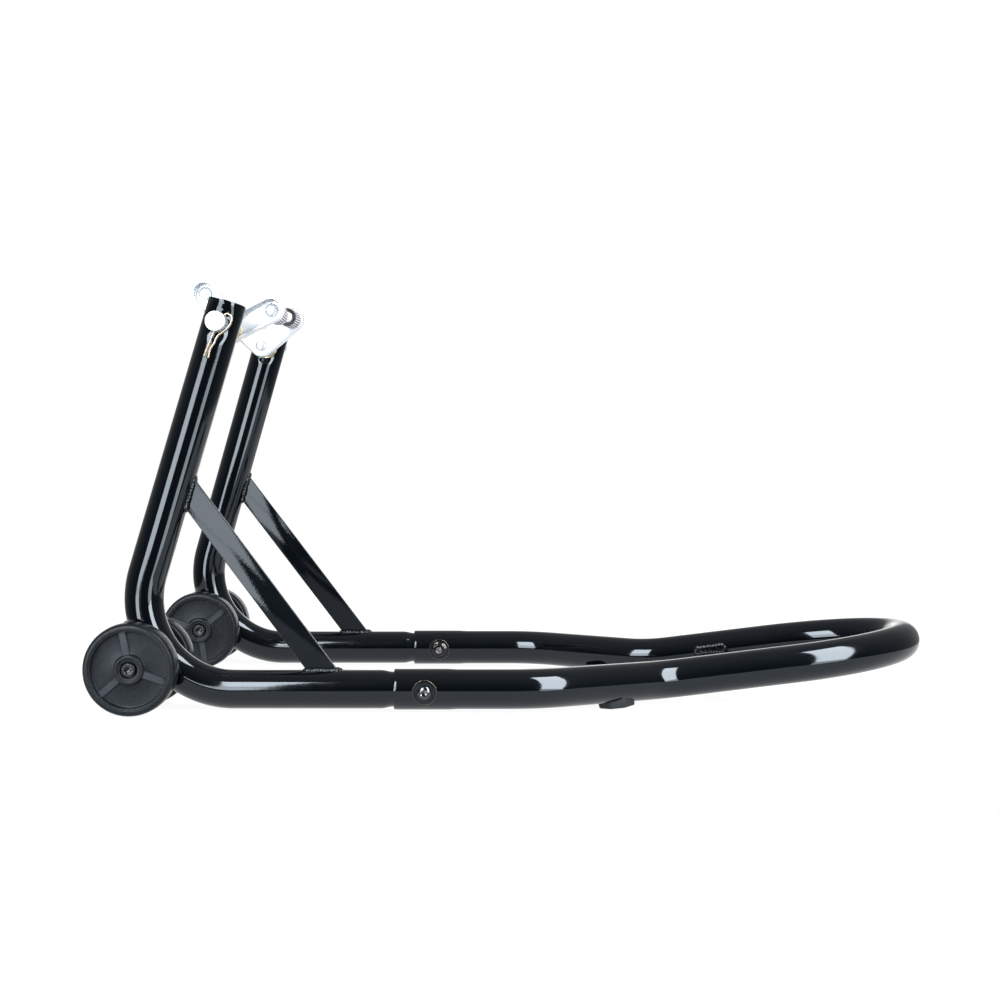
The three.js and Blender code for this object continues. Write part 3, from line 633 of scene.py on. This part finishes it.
def gusset(side):
    """The flat bar between the upright and the lower run, with its welds."""
    mesh = bmesh.new()
    (low_a, high_a), (low_b, high_b) = gusset_corners()
    rings = []
    for y in (-GUSSET_THICKNESS / 2, GUSSET_THICKNESS / 2):
        rings.append([mesh.verts.new((p.x, y, p.z)) for p in (low_a, high_a, high_b, low_b)])
    bridge(mesh, rings)
    for ring in rings:
        mesh.faces.new(ring)
    emit(f"gusset_{side}_looks", mesh, leaning_matrix(side), "frame", [f"leg_gusset_{side}"],
         SATIN, bevel=0.7)

    beads = bmesh.new()
    for index, (a, b) in enumerate(((low_a, low_b), (high_a, high_b))):
        along = (b - a).normalized()
        for y in (-1, 1):
            start, end = a - along * 1.5, b + along * 1.5
            offset = Vector((0, y * (GUSSET_THICKNESS / 2 + 1.2), 0))
            weld_bead(beads, [start + offset, end + offset], 3.0, 11 * index + y + 5)
        for corner, outward in ((a, -along), (b, along)):
            tip = corner + outward * 1.6
            weld_bead(beads, [tip + Vector((0, -3.4, 0)), tip + Vector((0, 3.4, 0))], 2.8, 7 * index + 31)
    emit(f"gusset_weld_{side}", beads, leaning_matrix(side), "frame", [],
         WELD, sharp=60)


def axle_sleeve(side):
    """The welded sleeve that takes both wheels' screws."""
    profile = rounded([(M8_BORE, 0), (M8_BORE, -AXLE_SLEEVE_HALF), (AXLE_SLEEVE, -AXLE_SLEEVE_HALF),
                       (AXLE_SLEEVE, AXLE_SLEEVE_HALF), (M8_BORE, AXLE_SLEEVE_HALF), (M8_BORE, 0.01)], 0.5)
    matrix = leg_matrix(side) @ Matrix.Translation((AXLE_X, 0, AXLE_Z))
    emit(f"axle_sleeve_{side}_looks", turned(profile, 48, wrap=True), matrix, "frame",
         [f"axle_sleeve_{side}"], GLOSS)
    beads = bmesh.new()
    for sign in (-1, 1):
        ring = []
        for k in range(25):
            angle = math.radians(-60 + 210 * k / 24 - 60)
            r, out = AXLE_SLEEVE + 0.5, 9.5 + 3.5 * abs(math.sin(k / 24 * math.pi))
            ring.append(Vector((r * math.cos(angle), sign * out, r * math.sin(angle))))
        weld_bead(beads, ring, 2.0, 50 + sign)
    emit(f"axle_weld_{side}", beads, matrix, "frame", [], WELD, sharp=60)


# ---------------------------------------------------------------- wheels
def wheel(name, facing, side, turn):
    """One moulded wheel with its washer, bush and screw, drawn with its outside towards +Y."""
    half = WHEEL_HALF
    floor = HUB_HALF - 7
    profile = [
        (BORE, 0), (BORE, -HUB_HALF - 1, 0.5), (HUB_RADIUS, -HUB_HALF - 1, 1),
        (HUB_RADIUS + 0.6, -WEB_HALF, 1.4), (RIM_INNER - 0.4, -WEB_HALF, 1.2),
        (RIM_INNER, -half + 1.2, 0.5), (RIM_INNER + 1.6, -half + 1.2, 0.5), (RIM_INNER + 1.6, -half, 0.6),
        (WHEEL_RADIUS - 2.6, -half, 1.2), (WHEEL_RADIUS - 0.5, -half + 3, 1.6), (WHEEL_RADIUS, 0, 3),
        (WHEEL_RADIUS - 0.5, half - 3, 1.6), (WHEEL_RADIUS - 2.6, half, 1.2),
        (RIM_INNER + 1.6, half, 0.6), (RIM_INNER + 1.6, half - 1.2, 0.5), (RIM_INNER, half - 1.2, 0.5),
        (RIM_INNER - 0.4, WEB_HALF, 1.2), (HUB_RADIUS + 0.6, WEB_HALF, 1.4), (HUB_RADIUS, HUB_HALF, 1),
        (11.2, HUB_HALF, 0.5), (11.2, HUB_HALF - 1.2, 0.4), (8.2, HUB_HALF - 1.2, 0.6), (8.2, floor, 0.4),
        (BORE, floor, 0.4), (BORE, 0.01),
    ]
    mesh = turned(rounded(profile, 0.6), 96, wrap=True)
    for i in range(3):
        spin = Matrix.Rotation(2 * math.pi * i / 3, 4, "Y")
        for y in (-1, 1):
            top, low = y * 7.6, y * (WEB_HALF - 1)
            shoulder = top - y * 0.5
            outline = [(-3.9, low), (-3.4, shoulder), (-2.9, top), (2.9, top), (3.4, shoulder), (3.9, low)]
            rings = []
            for x in (HUB_RADIUS - 1.5, RIM_INNER + 1):
                rings.append([mesh.verts.new(spin @ Vector((x, v, w))) for w, v in outline])
            bridge(mesh, rings)
            for ring in rings:
                mesh.faces.new(ring)
    flip = Matrix.Rotation(math.pi if facing < 0 else 0, 4, "Z")
    matrix = leg_matrix(side) @ Matrix.Translation((AXLE_X, 0, AXLE_Z)) @ flip
    placed = matrix @ Matrix.Translation((0, WHEEL_OFFSET, 0)) @ Matrix.Rotation(math.radians(turn), 4, "Y")
    emit(f"wheel_{name}_looks", mesh, placed, f"wheel_body_{name}", [f"wheel_{name}"],
         WHEEL)

    start = AXLE_SLEEVE_HALF + GAP
    washer = turned(ring_profile(9, M8_BORE, start, start + WHEEL_WASHER), 48, wrap=True)
    emit(f"wheel_washer_{name}_looks", washer, matrix, "frame", [f"wheel_washer_{name}"],
         ZINC)
    seat = WHEEL_OFFSET + floor + 0.6
    bush = turned(ring_profile(6, M8_BORE, start + WHEEL_WASHER + GAP, seat - GAP), 40, wrap=True)
    emit(f"wheel_bush_{name}_looks", bush, matrix, "frame", [f"wheel_bush_{name}"], ZINC)
    top = seat + 7
    head = rounded([(0.01, 6, 0), (4, 6), (4, seat, 0), (6.5, seat), (6.5, top, 0.6), (4.7, top, 0.3)], 0.3)
    socket = [(3.9, top - 0.05), (3.45, top - 0.5, "hex"), (3.4, top - 3.4, "hex"), (2.6, top - 3.6),
              (0.01, top - 4.4)]
    bolt = turned(head + socket, 48)
    emit(f"wheel_bolt_{name}_looks", bolt, matrix, "frame", [f"wheel_bolt_{name}"], OXIDE)


# ---------------------------------------------------------------- joint fasteners
def joint_fasteners(side):
    """The button-head bolt through the socket, its washers and its flanged nut; +Y is the inside."""
    matrix = leg_matrix(side) @ Matrix.Translation((JOINT_X, 0, AXIS_HEIGHT))
    seat = SOCKET_RADIUS + GAP
    under = seat + JOINT_WASHER + GAP
    head, nut_height = 7, 7
    top = -under - 4.4
    end = under + nut_height + 2.4
    profile = [(0.01, end), (3.4, end), (4, end - 0.6)]
    pitch = 0.62
    for k in range(14):
        y = end - 0.6 - k * pitch
        profile += [(4, y), (3.65, y - pitch / 2)]
    profile += [(4, under), (4, -under), (head - 0.1, -under), (head, -under - 0.4)]
    profile += dome(head, -under - 1.0, -3.4, 7, 9) + [(3.5, top + 0.1)]
    profile += [(2.95, top + 0.4, "hex"), (2.9, top + 2.6, "hex"), (2.0, top + 2.8), (0.01, top + 3.3)]
    emit(f"joint_bolt_{side}_looks", turned(profile, 48), matrix, "frame", [f"joint_bolt_{side}"],
         STEEL)
    outer = turned(ring_profile(12, M8_BORE, -seat - JOINT_WASHER, -seat, 0.4), 56, wrap=True)
    emit(f"joint_washer_outer_{side}_looks", outer, matrix, "frame", [f"joint_washer_outer_{side}"],
         SHADED_ZINC)
    inner = turned(ring_profile(12, M8_BORE, seat, seat + JOINT_WASHER, 0.4), 56, wrap=True)
    emit(f"joint_washer_inner_{side}_looks", inner, matrix, "frame", [f"joint_washer_inner_{side}"],
         SHADED_ZINC)
    nut = [
        (4.3, under + 0.4), (4.6, under), (9.1, under), (9.4, under + 0.4), (9.2, under + 0.9),
        (7.6, under + 1.6), (6.5, under + 1.9, 7.4), (6.5, under + 6.2, "hex"), (6.5, under + 6.7, 6.9),
        (6.2, under + nut_height, 6.3), (5.2, under + nut_height), (4.3, under + 6.4),
    ]
    emit(f"joint_nut_{side}_looks", turned(nut, 60, wrap=True), matrix, "frame", [f"joint_nut_{side}"],
         NUT)


# ---------------------------------------------------------------- V-cradles
def arm(angle):
    """The end of an arm at that angle."""
    return Vector((ARM * math.cos(angle), 0, ARM * math.sin(angle)))


def v_outline(radius, fillet):
    """The V's outline as (x, z) points, always the same count, about arms at 0 and SPREAD."""
    points = []

    def arc(centre, start, end, count, r):
        for k in range(count + 1):
            a = start + (end - start) * k / count
            points.append((centre[0] + r * math.cos(a), centre[1] + r * math.sin(a)))

    half = SPREAD / 2
    first = (ARM, 0.0)
    second = (ARM * math.cos(SPREAD), ARM * math.sin(SPREAD))
    arc((0, 0), SPREAD + math.pi / 2, 1.5 * math.pi, 10, radius)
    arc(first, -math.pi / 2, math.pi / 2, 20, radius)
    reach = (radius + fillet) / math.sin(half)
    corner = (reach * math.cos(half), reach * math.sin(half))
    arc(corner, -math.pi / 2, -math.pi / 2 - (math.pi - SPREAD), 8, fillet)
    arc(second, SPREAD - math.pi / 2, SPREAD + math.pi / 2, 20, radius)
    return points


def bracket(side, matrix):
    """The pressed V, a shallow dish whose rim points at the upright."""
    mesh = bmesh.new()

    def ring(inset, y):
        outline = v_outline(BRACKET_RADIUS - inset, BRACKET_FILLET + inset)
        return [mesh.verts.new((x, y, z)) for x, z in outline]

    near, face, web, wall = BRACKET_NEAR, BRACKET_FACE, BRACKET_WEB, BRACKET_WALL
    rings = [ring(0.5, near), ring(0.12, near + 0.15), ring(0, near + 0.6)]
    bend = 3.0
    for k in range(7):
        a = math.pi / 2 * k / 6
        rings.append(ring(bend * (1 - math.cos(a)), face - bend + bend * math.sin(a)))
    back = [ring(wall - 0.5, near), ring(wall - 0.1, near + 0.2), ring(wall, near + 0.6),
            ring(wall, face - web - 0.8), ring(wall + 0.8, face - web)]
    bridge(mesh, rings)
    bridge(mesh, back)
    bridge(mesh, [rings[0], back[0]])
    mesh.faces.new(rings[-1])
    mesh.faces.new(back[-1])
    bmesh.ops.triangulate(mesh, faces=[f for f in mesh.faces if len(f.verts) > 4])
    emit(f"cradle_bracket_{side}_looks", mesh, matrix, f"cradle_{side}", [f"cradle_bracket_{side}"],
         ZINC, sharp=40)


def peg(name, matrix, body):
    """A peg riveted through the bracket, with a domed head behind it."""
    face, back = BRACKET_FACE, BRACKET_FACE - BRACKET_WEB - GAP
    end = face + GAP + PEG_LENGTH
    profile = [(0.01, back - 3)] + dome(7.3, back, -3)[::-1]
    profile += [(5, back), (5, face + 0.1), (7.2, face + 0.1), (7.2, face + 0.45)]
    profile.append((PEG_RADIUS, face + 0.5))
    profile += dome(PEG_RADIUS, end - 1.9, 1.9) + [(0.01, end)]
    emit(f"{name}_looks", turned(profile, 48), matrix, body, [name], ZINC)


def sleeve(name, matrix, body):
    """The ribbed rubber sleeve on a peg, with a dished end."""
    mesh = bmesh.new()
    start = BRACKET_FACE + 0.6
    end = start + SLEEVE_LENGTH
    per_rib, ribs = 8, 24
    count = per_rib * ribs

    def ring(y, inset=0.0, depth=1.0):
        out = []
        for k in range(count):
            wave = 0.5 + 0.5 * math.cos(2 * math.pi * k / per_rib)
            r = SLEEVE_CREST - (SLEEVE_CREST - SLEEVE_ROOT) * depth * (1 - wave ** 0.6) - inset
            a = 2 * math.pi * k / count
            out.append(mesh.verts.new((r * math.cos(a), y, r * math.sin(a))))
        return out

    def round_ring(r, y):
        angles = [2 * math.pi * k / count for k in range(count)]
        return [mesh.verts.new((r * math.cos(a), y, r * math.sin(a))) for a in angles]

    rings = [round_ring(SLEEVE_BORE, start), round_ring(SLEEVE_BORE + 0.3, start - 0.1)]
    rings += [ring(start, 0.5), ring(start + 0.5)]
    rings += [ring(start + 0.5 + (SLEEVE_LENGTH - 1.2) * k / 10) for k in range(1, 11)]
    rings += [ring(end - 0.25, 0.12), ring(end, 0.5, 0.9), round_ring(9.0, end)]
    rings += [round_ring(8.6, end - 0.25), round_ring(SLEEVE_BORE + 0.5, end - 0.25)]
    rings.append(round_ring(SLEEVE_BORE, end - 0.7))
    bridge(mesh, rings, wrap=True)
    emit(f"{name}_looks", mesh, matrix, body, [name], SLEEVE, sharp=60)


def clip_path():
    """The R-clip's wire: straight leg through the pin, eye beside it, and the springy leg that hugs it."""
    shape = [(-11.5, -34.6), (-7, -23.1), (-2.7, -12), (2.8, -2.9), (7.8, 5.2)]
    shape += [(11.6, 7.6), (15, 5.2), (15.4, 0.4)]
    shape += [(12.4, -5.4), (7.8, -9.9), (2.9, -13.4), (0.3, -17)]
    shape += [(-1.3, -21), (-4.3, -25.4), (-6, -30), (-7.2, -36)]
    points = [Vector((x, CLIP_AT, z)) for x, z in shape]
    points = [points[0] * 2 - points[1]] + points + [points[-1] * 2 - points[-2]]
    path = []
    for a, b, c, d in zip(points, points[1:], points[2:], points[3:]):
        for k in range(10):
            t = k / 10
            path.append(0.5 * ((2 * b) + (c - a) * t + (2 * a - 5 * b + 4 * c - d) * t * t
                               + (3 * b - a - 3 * c + d) * t ** 3))
    path.append(points[-2])
    return path


def cradle(side):
    """Everything that turns on one pivot, and the washers and spacer that it turns against."""
    body = f"cradle_{side}"
    pivot = leaning_matrix(side) @ Matrix.Translation(PIVOT)
    arms = pivot @ Matrix.Rotation(-CRADLE_TURN[side], 4, "Y")
    bracket(side, arms)
    for end, angle in (("rear", 0.0), ("front", SPREAD)):
        tip = arms @ Matrix.Translation(arm(angle))
        peg(f"peg_{end}_{side}", tip, body)
        sleeve(f"peg_sleeve_{end}_{side}", tip, body)

    shoulder, under = BRACKET_FACE - BRACKET_WEB - GAP, BRACKET_FACE
    points = [(0.01, PIN_END, 0), (PIN_RADIUS, PIN_END, 1.1), (PIN_RADIUS, shoulder, 0.4),
              (5.8, shoulder, 0.2), (5.8, under + 0.1, 0.2)]
    profile = rounded(points, 0.3) + [(6.4, under + 0.1)]
    profile += dome(6.4, under + 0.3, 2.4) + [(0.01, under + 2.7)]
    emit(f"pivot_pin_{side}_looks", turned(profile, 56), pivot, body, [f"pivot_pin_{side}"],
         PIN)

    wire = bmesh.new()
    path = clip_path()

    def thickness(i):
        edge = min(i, len(path) - 1 - i)
        return 1.15 * min(1.0, 0.75 + 0.25 * edge)

    sweep(wire, path, thickness, 16, caps=True)
    emit(f"pivot_clip_{side}_looks", wire, pivot, body, [f"pivot_clip_{side}"],
         WIRE, sharp=50)

    first, last = LEG_RADIUS + 0.6, BRACKET_NEAR - PIVOT_WASHER - GAP
    for end, start in (("outer", first), ("inner", last)):
        washer = turned(ring_profile(13, PIN_HOLE, start, start + PIVOT_WASHER, 0.4), 56, wrap=True)
        emit(f"pivot_washer_{end}_{side}_looks", washer, pivot, "frame", [f"pivot_washer_{end}_{side}"],
             YELLOW)
    second = first + PIVOT_WASHER + GAP
    spacer = turned(ring_profile(11.6, PIN_HOLE, second, last - GAP), 56, wrap=True)
    emit(f"pivot_spacer_{side}_looks", spacer, pivot, "frame", [f"pivot_spacer_{side}"],
         ZINC)


# ---------------------------------------------------------------- handle
def handle_path():
    """The handle's axis: two bent sides and, between them, half an ellipse."""
    end_height = WAIST_HEIGHT + (END_X - WAIST_X) * math.tan(RISE)
    half = TRACK / 2
    side = bent_path([
        (SOCKET_X, -half, AXIS_HEIGHT), (SHOULDER_X, -half, AXIS_HEIGHT),
        (WAIST_X, -GRIP_HALF, WAIST_HEIGHT), (END_X, -GRIP_HALF, end_height),
    ], HANDLE_BENDS, 3.5)
    forward = Vector((math.cos(RISE), 0, math.sin(RISE)))
    centre = Vector((END_X, 0, end_height))
    grip = []
    for k in range(1, 72):
        a = math.pi * k / 72
        grip.append(centre + forward * END_REACH * math.sin(a) + Vector((0, -GRIP_HALF * math.cos(a), 0)))
    return side + grip + [Vector((p.x, -p.y, p.z)) for p in reversed(side)]


HANDLE_PATH = handle_path()


def handle():
    """The U-shaped tube with a wider socket at each open end, and its cross bar and welds."""
    socket_end = SOCKET_X + SOCKET_LENGTH
    lengths = [0.0]
    for a, b in zip(HANDLE_PATH, HANDLE_PATH[1:]):
        lengths.append(lengths[-1] + (b - a).length)
    total = lengths[-1]
    path = HANDLE_PATH[:1] + [HANDLE_PATH[0] + Vector((0.5, 0, 0))] + HANDLE_PATH[1:-1]
    path += [HANDLE_PATH[-1] + Vector((0.5, 0, 0)), HANDLE_PATH[-1]]
    lengths = [0.0, 0.5] + lengths[1:-1] + [total - 0.5, total]

    def outer_radius(i):
        x = SOCKET_X + min(lengths[i], total - lengths[i])
        t = min(1.0, max(0.0, (x - (socket_end - 8)) / 8))
        lip = 0.4 if x < SOCKET_X + 0.3 else 0.0
        return SOCKET_RADIUS + (HANDLE_RADIUS - SOCKET_RADIUS) * t - lip

    def inner_radius(i):
        lip = 0.2 if i in (0, len(path) - 1) else 0.0
        return HANDLE_RADIUS - HANDLE_WALL + lip

    mesh = bmesh.new()
    up = Vector((0, 0, 1))
    outer = sweep(mesh, path, outer_radius, 72, up=up)
    inner = sweep(mesh, path, inner_radius, 72, up=up)
    bridge(mesh, [outer[0], inner[0]])
    bridge(mesh, [outer[-1], inner[-1]])
    emit("handle_tube_looks", mesh, TUBE_FRAME, "frame", ["handle_tube"],
         GLOSS, sharp=60)

    bar = bmesh.new()
    height = WAIST_HEIGHT + (BRACE_X - WAIST_X) * math.tan(RISE) + BRACE_ABOVE
    size = Matrix.Diagonal((BRACE_WIDTH, 2 * (GRIP_HALF - HANDLE_RADIUS + 1.5), BRACE_THICKNESS, 1))
    bmesh.ops.create_cube(bar, size=1, matrix=size)
    place = TUBE_FRAME @ Matrix.Translation((BRACE_X, 0, height)) @ Matrix.Rotation(-RISE, 4, "Y")
    emit("handle_brace_looks", bar, place, "frame", ["handle_brace"], GLOSS, bevel=0.9)
    beads = bmesh.new()
    for sign in (-1, 1):
        y = sign * (GRIP_HALF - HANDLE_RADIUS + 0.6)
        for z in (-3.4, 3.4):
            weld_bead(beads, [Vector((-17, y, z)), Vector((17, y, z))], 2.8, 90 + sign * 3 + round(z))
        for x in (-16.6, 16.6):
            weld_bead(beads, [Vector((x, y, -3.4)), Vector((x, y, 3.4))], 2.6, 70 + round(x))
    emit("brace_weld", beads, place, "frame", [], WELD, sharp=60)


def foot(side, sign):
    """An eight-sided rubber block under the handle tube, let down to the height of the frame's own."""
    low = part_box(f"foot_{side}")[0].z
    bevel, top = 0.9, FOOT_HEIGHT + 2
    profile = rounded([(0.01, 0, 0), (FOOT_HALF - bevel, 0, 0.4), (FOOT_HALF, bevel, 0.6),
                       (FOOT_HALF, top, 0), (0.01, top, 0)], 0.6)
    mesh = turned(profile, 96)
    eighth = math.pi / 4
    for corner in mesh.verts:
        off = (math.atan2(corner.co.z, corner.co.x) + eighth / 2) % eighth - eighth / 2
        grow = min(1 / math.cos(off), 1.07)
        corner.co.x, corner.co.z = corner.co.x * grow, corner.co.z * grow
    stand_up = Matrix.Rotation(-FOOT_TILT, 4, "Y") @ Matrix.Rotation(math.pi / 2, 4, "X")
    rest = TUBE_FRAME @ Matrix.Translation((FOOT_X, sign * (TRACK / 2 - FOOT_INSET), 0)) @ stand_up
    lowest = min((rest @ v.co).z for v in mesh.verts)
    settle = Matrix.Translation((0, 0, low - lowest))
    emit(f"foot_{side}_looks", mesh, settle @ rest, "frame", [f"foot_{side}"], FOOT)


for side_name in ("left", "right"):
    leg_tube(side_name)
    gusset(side_name)
    axle_sleeve(side_name)
    for place_name, facing in (("outer", -1), ("inner", 1)):
        wheel_name = f"{place_name}_{side_name}"
        wheel(wheel_name, facing, side_name, WHEEL_TURN[wheel_name])
    joint_fasteners(side_name)
    cradle(side_name)
handle()
foot("left", -1)
foot("right", 1)

# ---------------------------------------------------------------- floor, light and camera
scene = bpy.context.scene
scene.view_settings.view_transform = "Standard"


def stage_floor():
    """A white table top, as bright as the backdrop."""
    centre, half_length, half_width = (0, 0.35, 0), 0.75, 0.85
    mesh = bmesh.new()
    spot = Matrix.Translation(centre) @ Matrix.Diagonal((half_length, half_width, 1, 1))
    bmesh.ops.create_grid(mesh, x_segments=8, y_segments=8, size=1, matrix=spot)
    data = bpy.data.meshes.new("studio_floor")
    mesh.to_mesh(data)
    mesh.free()
    floor = bpy.data.objects.new("studio_floor", data)
    scene.collection.objects.link(floor)
    s = Shader("studio_floor", Specular_IOR_Level=0.0, Emission_Strength=0.92)
    s.surface.inputs["Emission Color"].default_value = (1, 1, 1, 1)
    s.colour(s.ramp(s.noise(3, 3), (0.3, (0.14, 0.14, 0.14)), (0.7, (0.16, 0.16, 0.16))))
    s.rough(s.spread(s.noise(20, 3), 0.8, 0.9))
    data.materials.append(s.material)


def strip_light(name, foot, head, width, radiance):
    """A tall softbox that leans over the object, from a foot to a head point."""
    foot, head = Vector(foot), Vector(head)
    centre, along = (foot + head) / 2, (head - foot).normalized()
    facing = Vector((0, 0, 0.15)) - centre
    facing = (facing - along * facing.dot(along)).normalized()
    light = bpy.data.lights.new(name, "AREA")
    light.shape = "RECTANGLE"
    light.size, light.size_y = width, (head - foot).length
    light.energy = radiance * math.pi * light.size * light.size_y
    lamp = bpy.data.objects.new(name, light)
    across = along.cross(-facing)
    turn = Matrix((across, along, -facing)).transposed().to_4x4()
    lamp.matrix_world = Matrix.Translation(centre) @ turn
    scene.collection.objects.link(lamp)


def studio_world():
    """White behind the object; in reflections it grows lighter towards the ceiling and the backdrop."""
    world = bpy.data.worlds.new("studio")
    world.use_nodes = True
    tree = world.node_tree
    background = tree.nodes["Background"]
    place = tree.nodes.new("ShaderNodeTexCoord")

    def glow(towards, start, end, low, high):
        """Light that grows from low to high as a direction's dot product goes from start to end."""
        along = tree.nodes.new("ShaderNodeVectorMath")
        along.operation = "DOT_PRODUCT"
        along.inputs[1].default_value = towards
        tree.links.new(place.outputs["Generated"], along.inputs[0])
        grown = tree.nodes.new("ShaderNodeMapRange")
        for key, value in (("From Min", start), ("From Max", end), ("To Min", low), ("To Max", high)):
            grown.inputs[key].default_value = value
        tree.links.new(along.outputs["Value"], grown.inputs["Value"])
        return grown.outputs["Result"]

    both = tree.nodes.new("ShaderNodeMath")
    tree.links.new(glow((0, 1, 1), -0.8, 0.8, 0.08, 0.42), both.inputs[0])
    tree.links.new(glow((0, 1, 0), 0.88, 0.98, 0, 1.5), both.inputs[1])
    path = tree.nodes.new("ShaderNodeLightPath")
    seen = tree.nodes.new("ShaderNodeMix")
    tree.links.new(path.outputs["Is Camera Ray"], seen.inputs["Factor"])
    tree.links.new(both.outputs["Value"], seen.inputs["A"])
    seen.inputs["B"].default_value = 1.0
    tree.links.new(seen.outputs["Result"], background.inputs["Strength"])
    background.inputs["Color"].default_value = (1, 1, 1, 1)
    return world


stage_floor()
scene.world = studio_world()
strip_light("left_low", (-1.18, -1.72, -0.6), (-1.18, -1.72, 0.08), 0.6, 13)
strip_light("left_mid", (-0.97, -1.85, 0.09), (-0.97, -1.85, 0.71), 0.86, 13)
strip_light("left_high", (-0.97, -1.85, 0.74), (-0.96, -1.72, 2.0), 0.84, 20)
strip_light("right_low", (1.25, -1.75, -0.9), (1.25, -1.75, 0.12), 0.75, 8)
strip_light("right_high", (1.25, -1.75, 0.14), (0.8, -0.5, 2.3), 0.7, 20)

CAMERA_AT = (0, -1535, 247)     # millimetres, in the tube frame


def photo_camera():
    """The camera fitted to the photo: it looks along the axles, straight at the stand's side."""
    camera = bpy.data.objects.new("camera", bpy.data.cameras.new("camera"))
    camera.data.sensor_width = 36
    camera.data.lens = 50.33
    camera.data.shift_x = -0.004
    camera.data.shift_y = -0.04
    camera.data.clip_start, camera.data.clip_end = 0.05, 100
    place = TUBE_FRAME @ Matrix.Translation(CAMERA_AT)
    facing = place.to_quaternion().to_matrix().to_4x4() @ Matrix.Rotation(math.pi / 2, 4, "X")
    camera.matrix_world = Matrix.Translation(place.to_translation()) @ facing
    scene.collection.objects.link(camera)
    return camera


scene.camera = photo_camera()

bpy.context.view_layer.update()
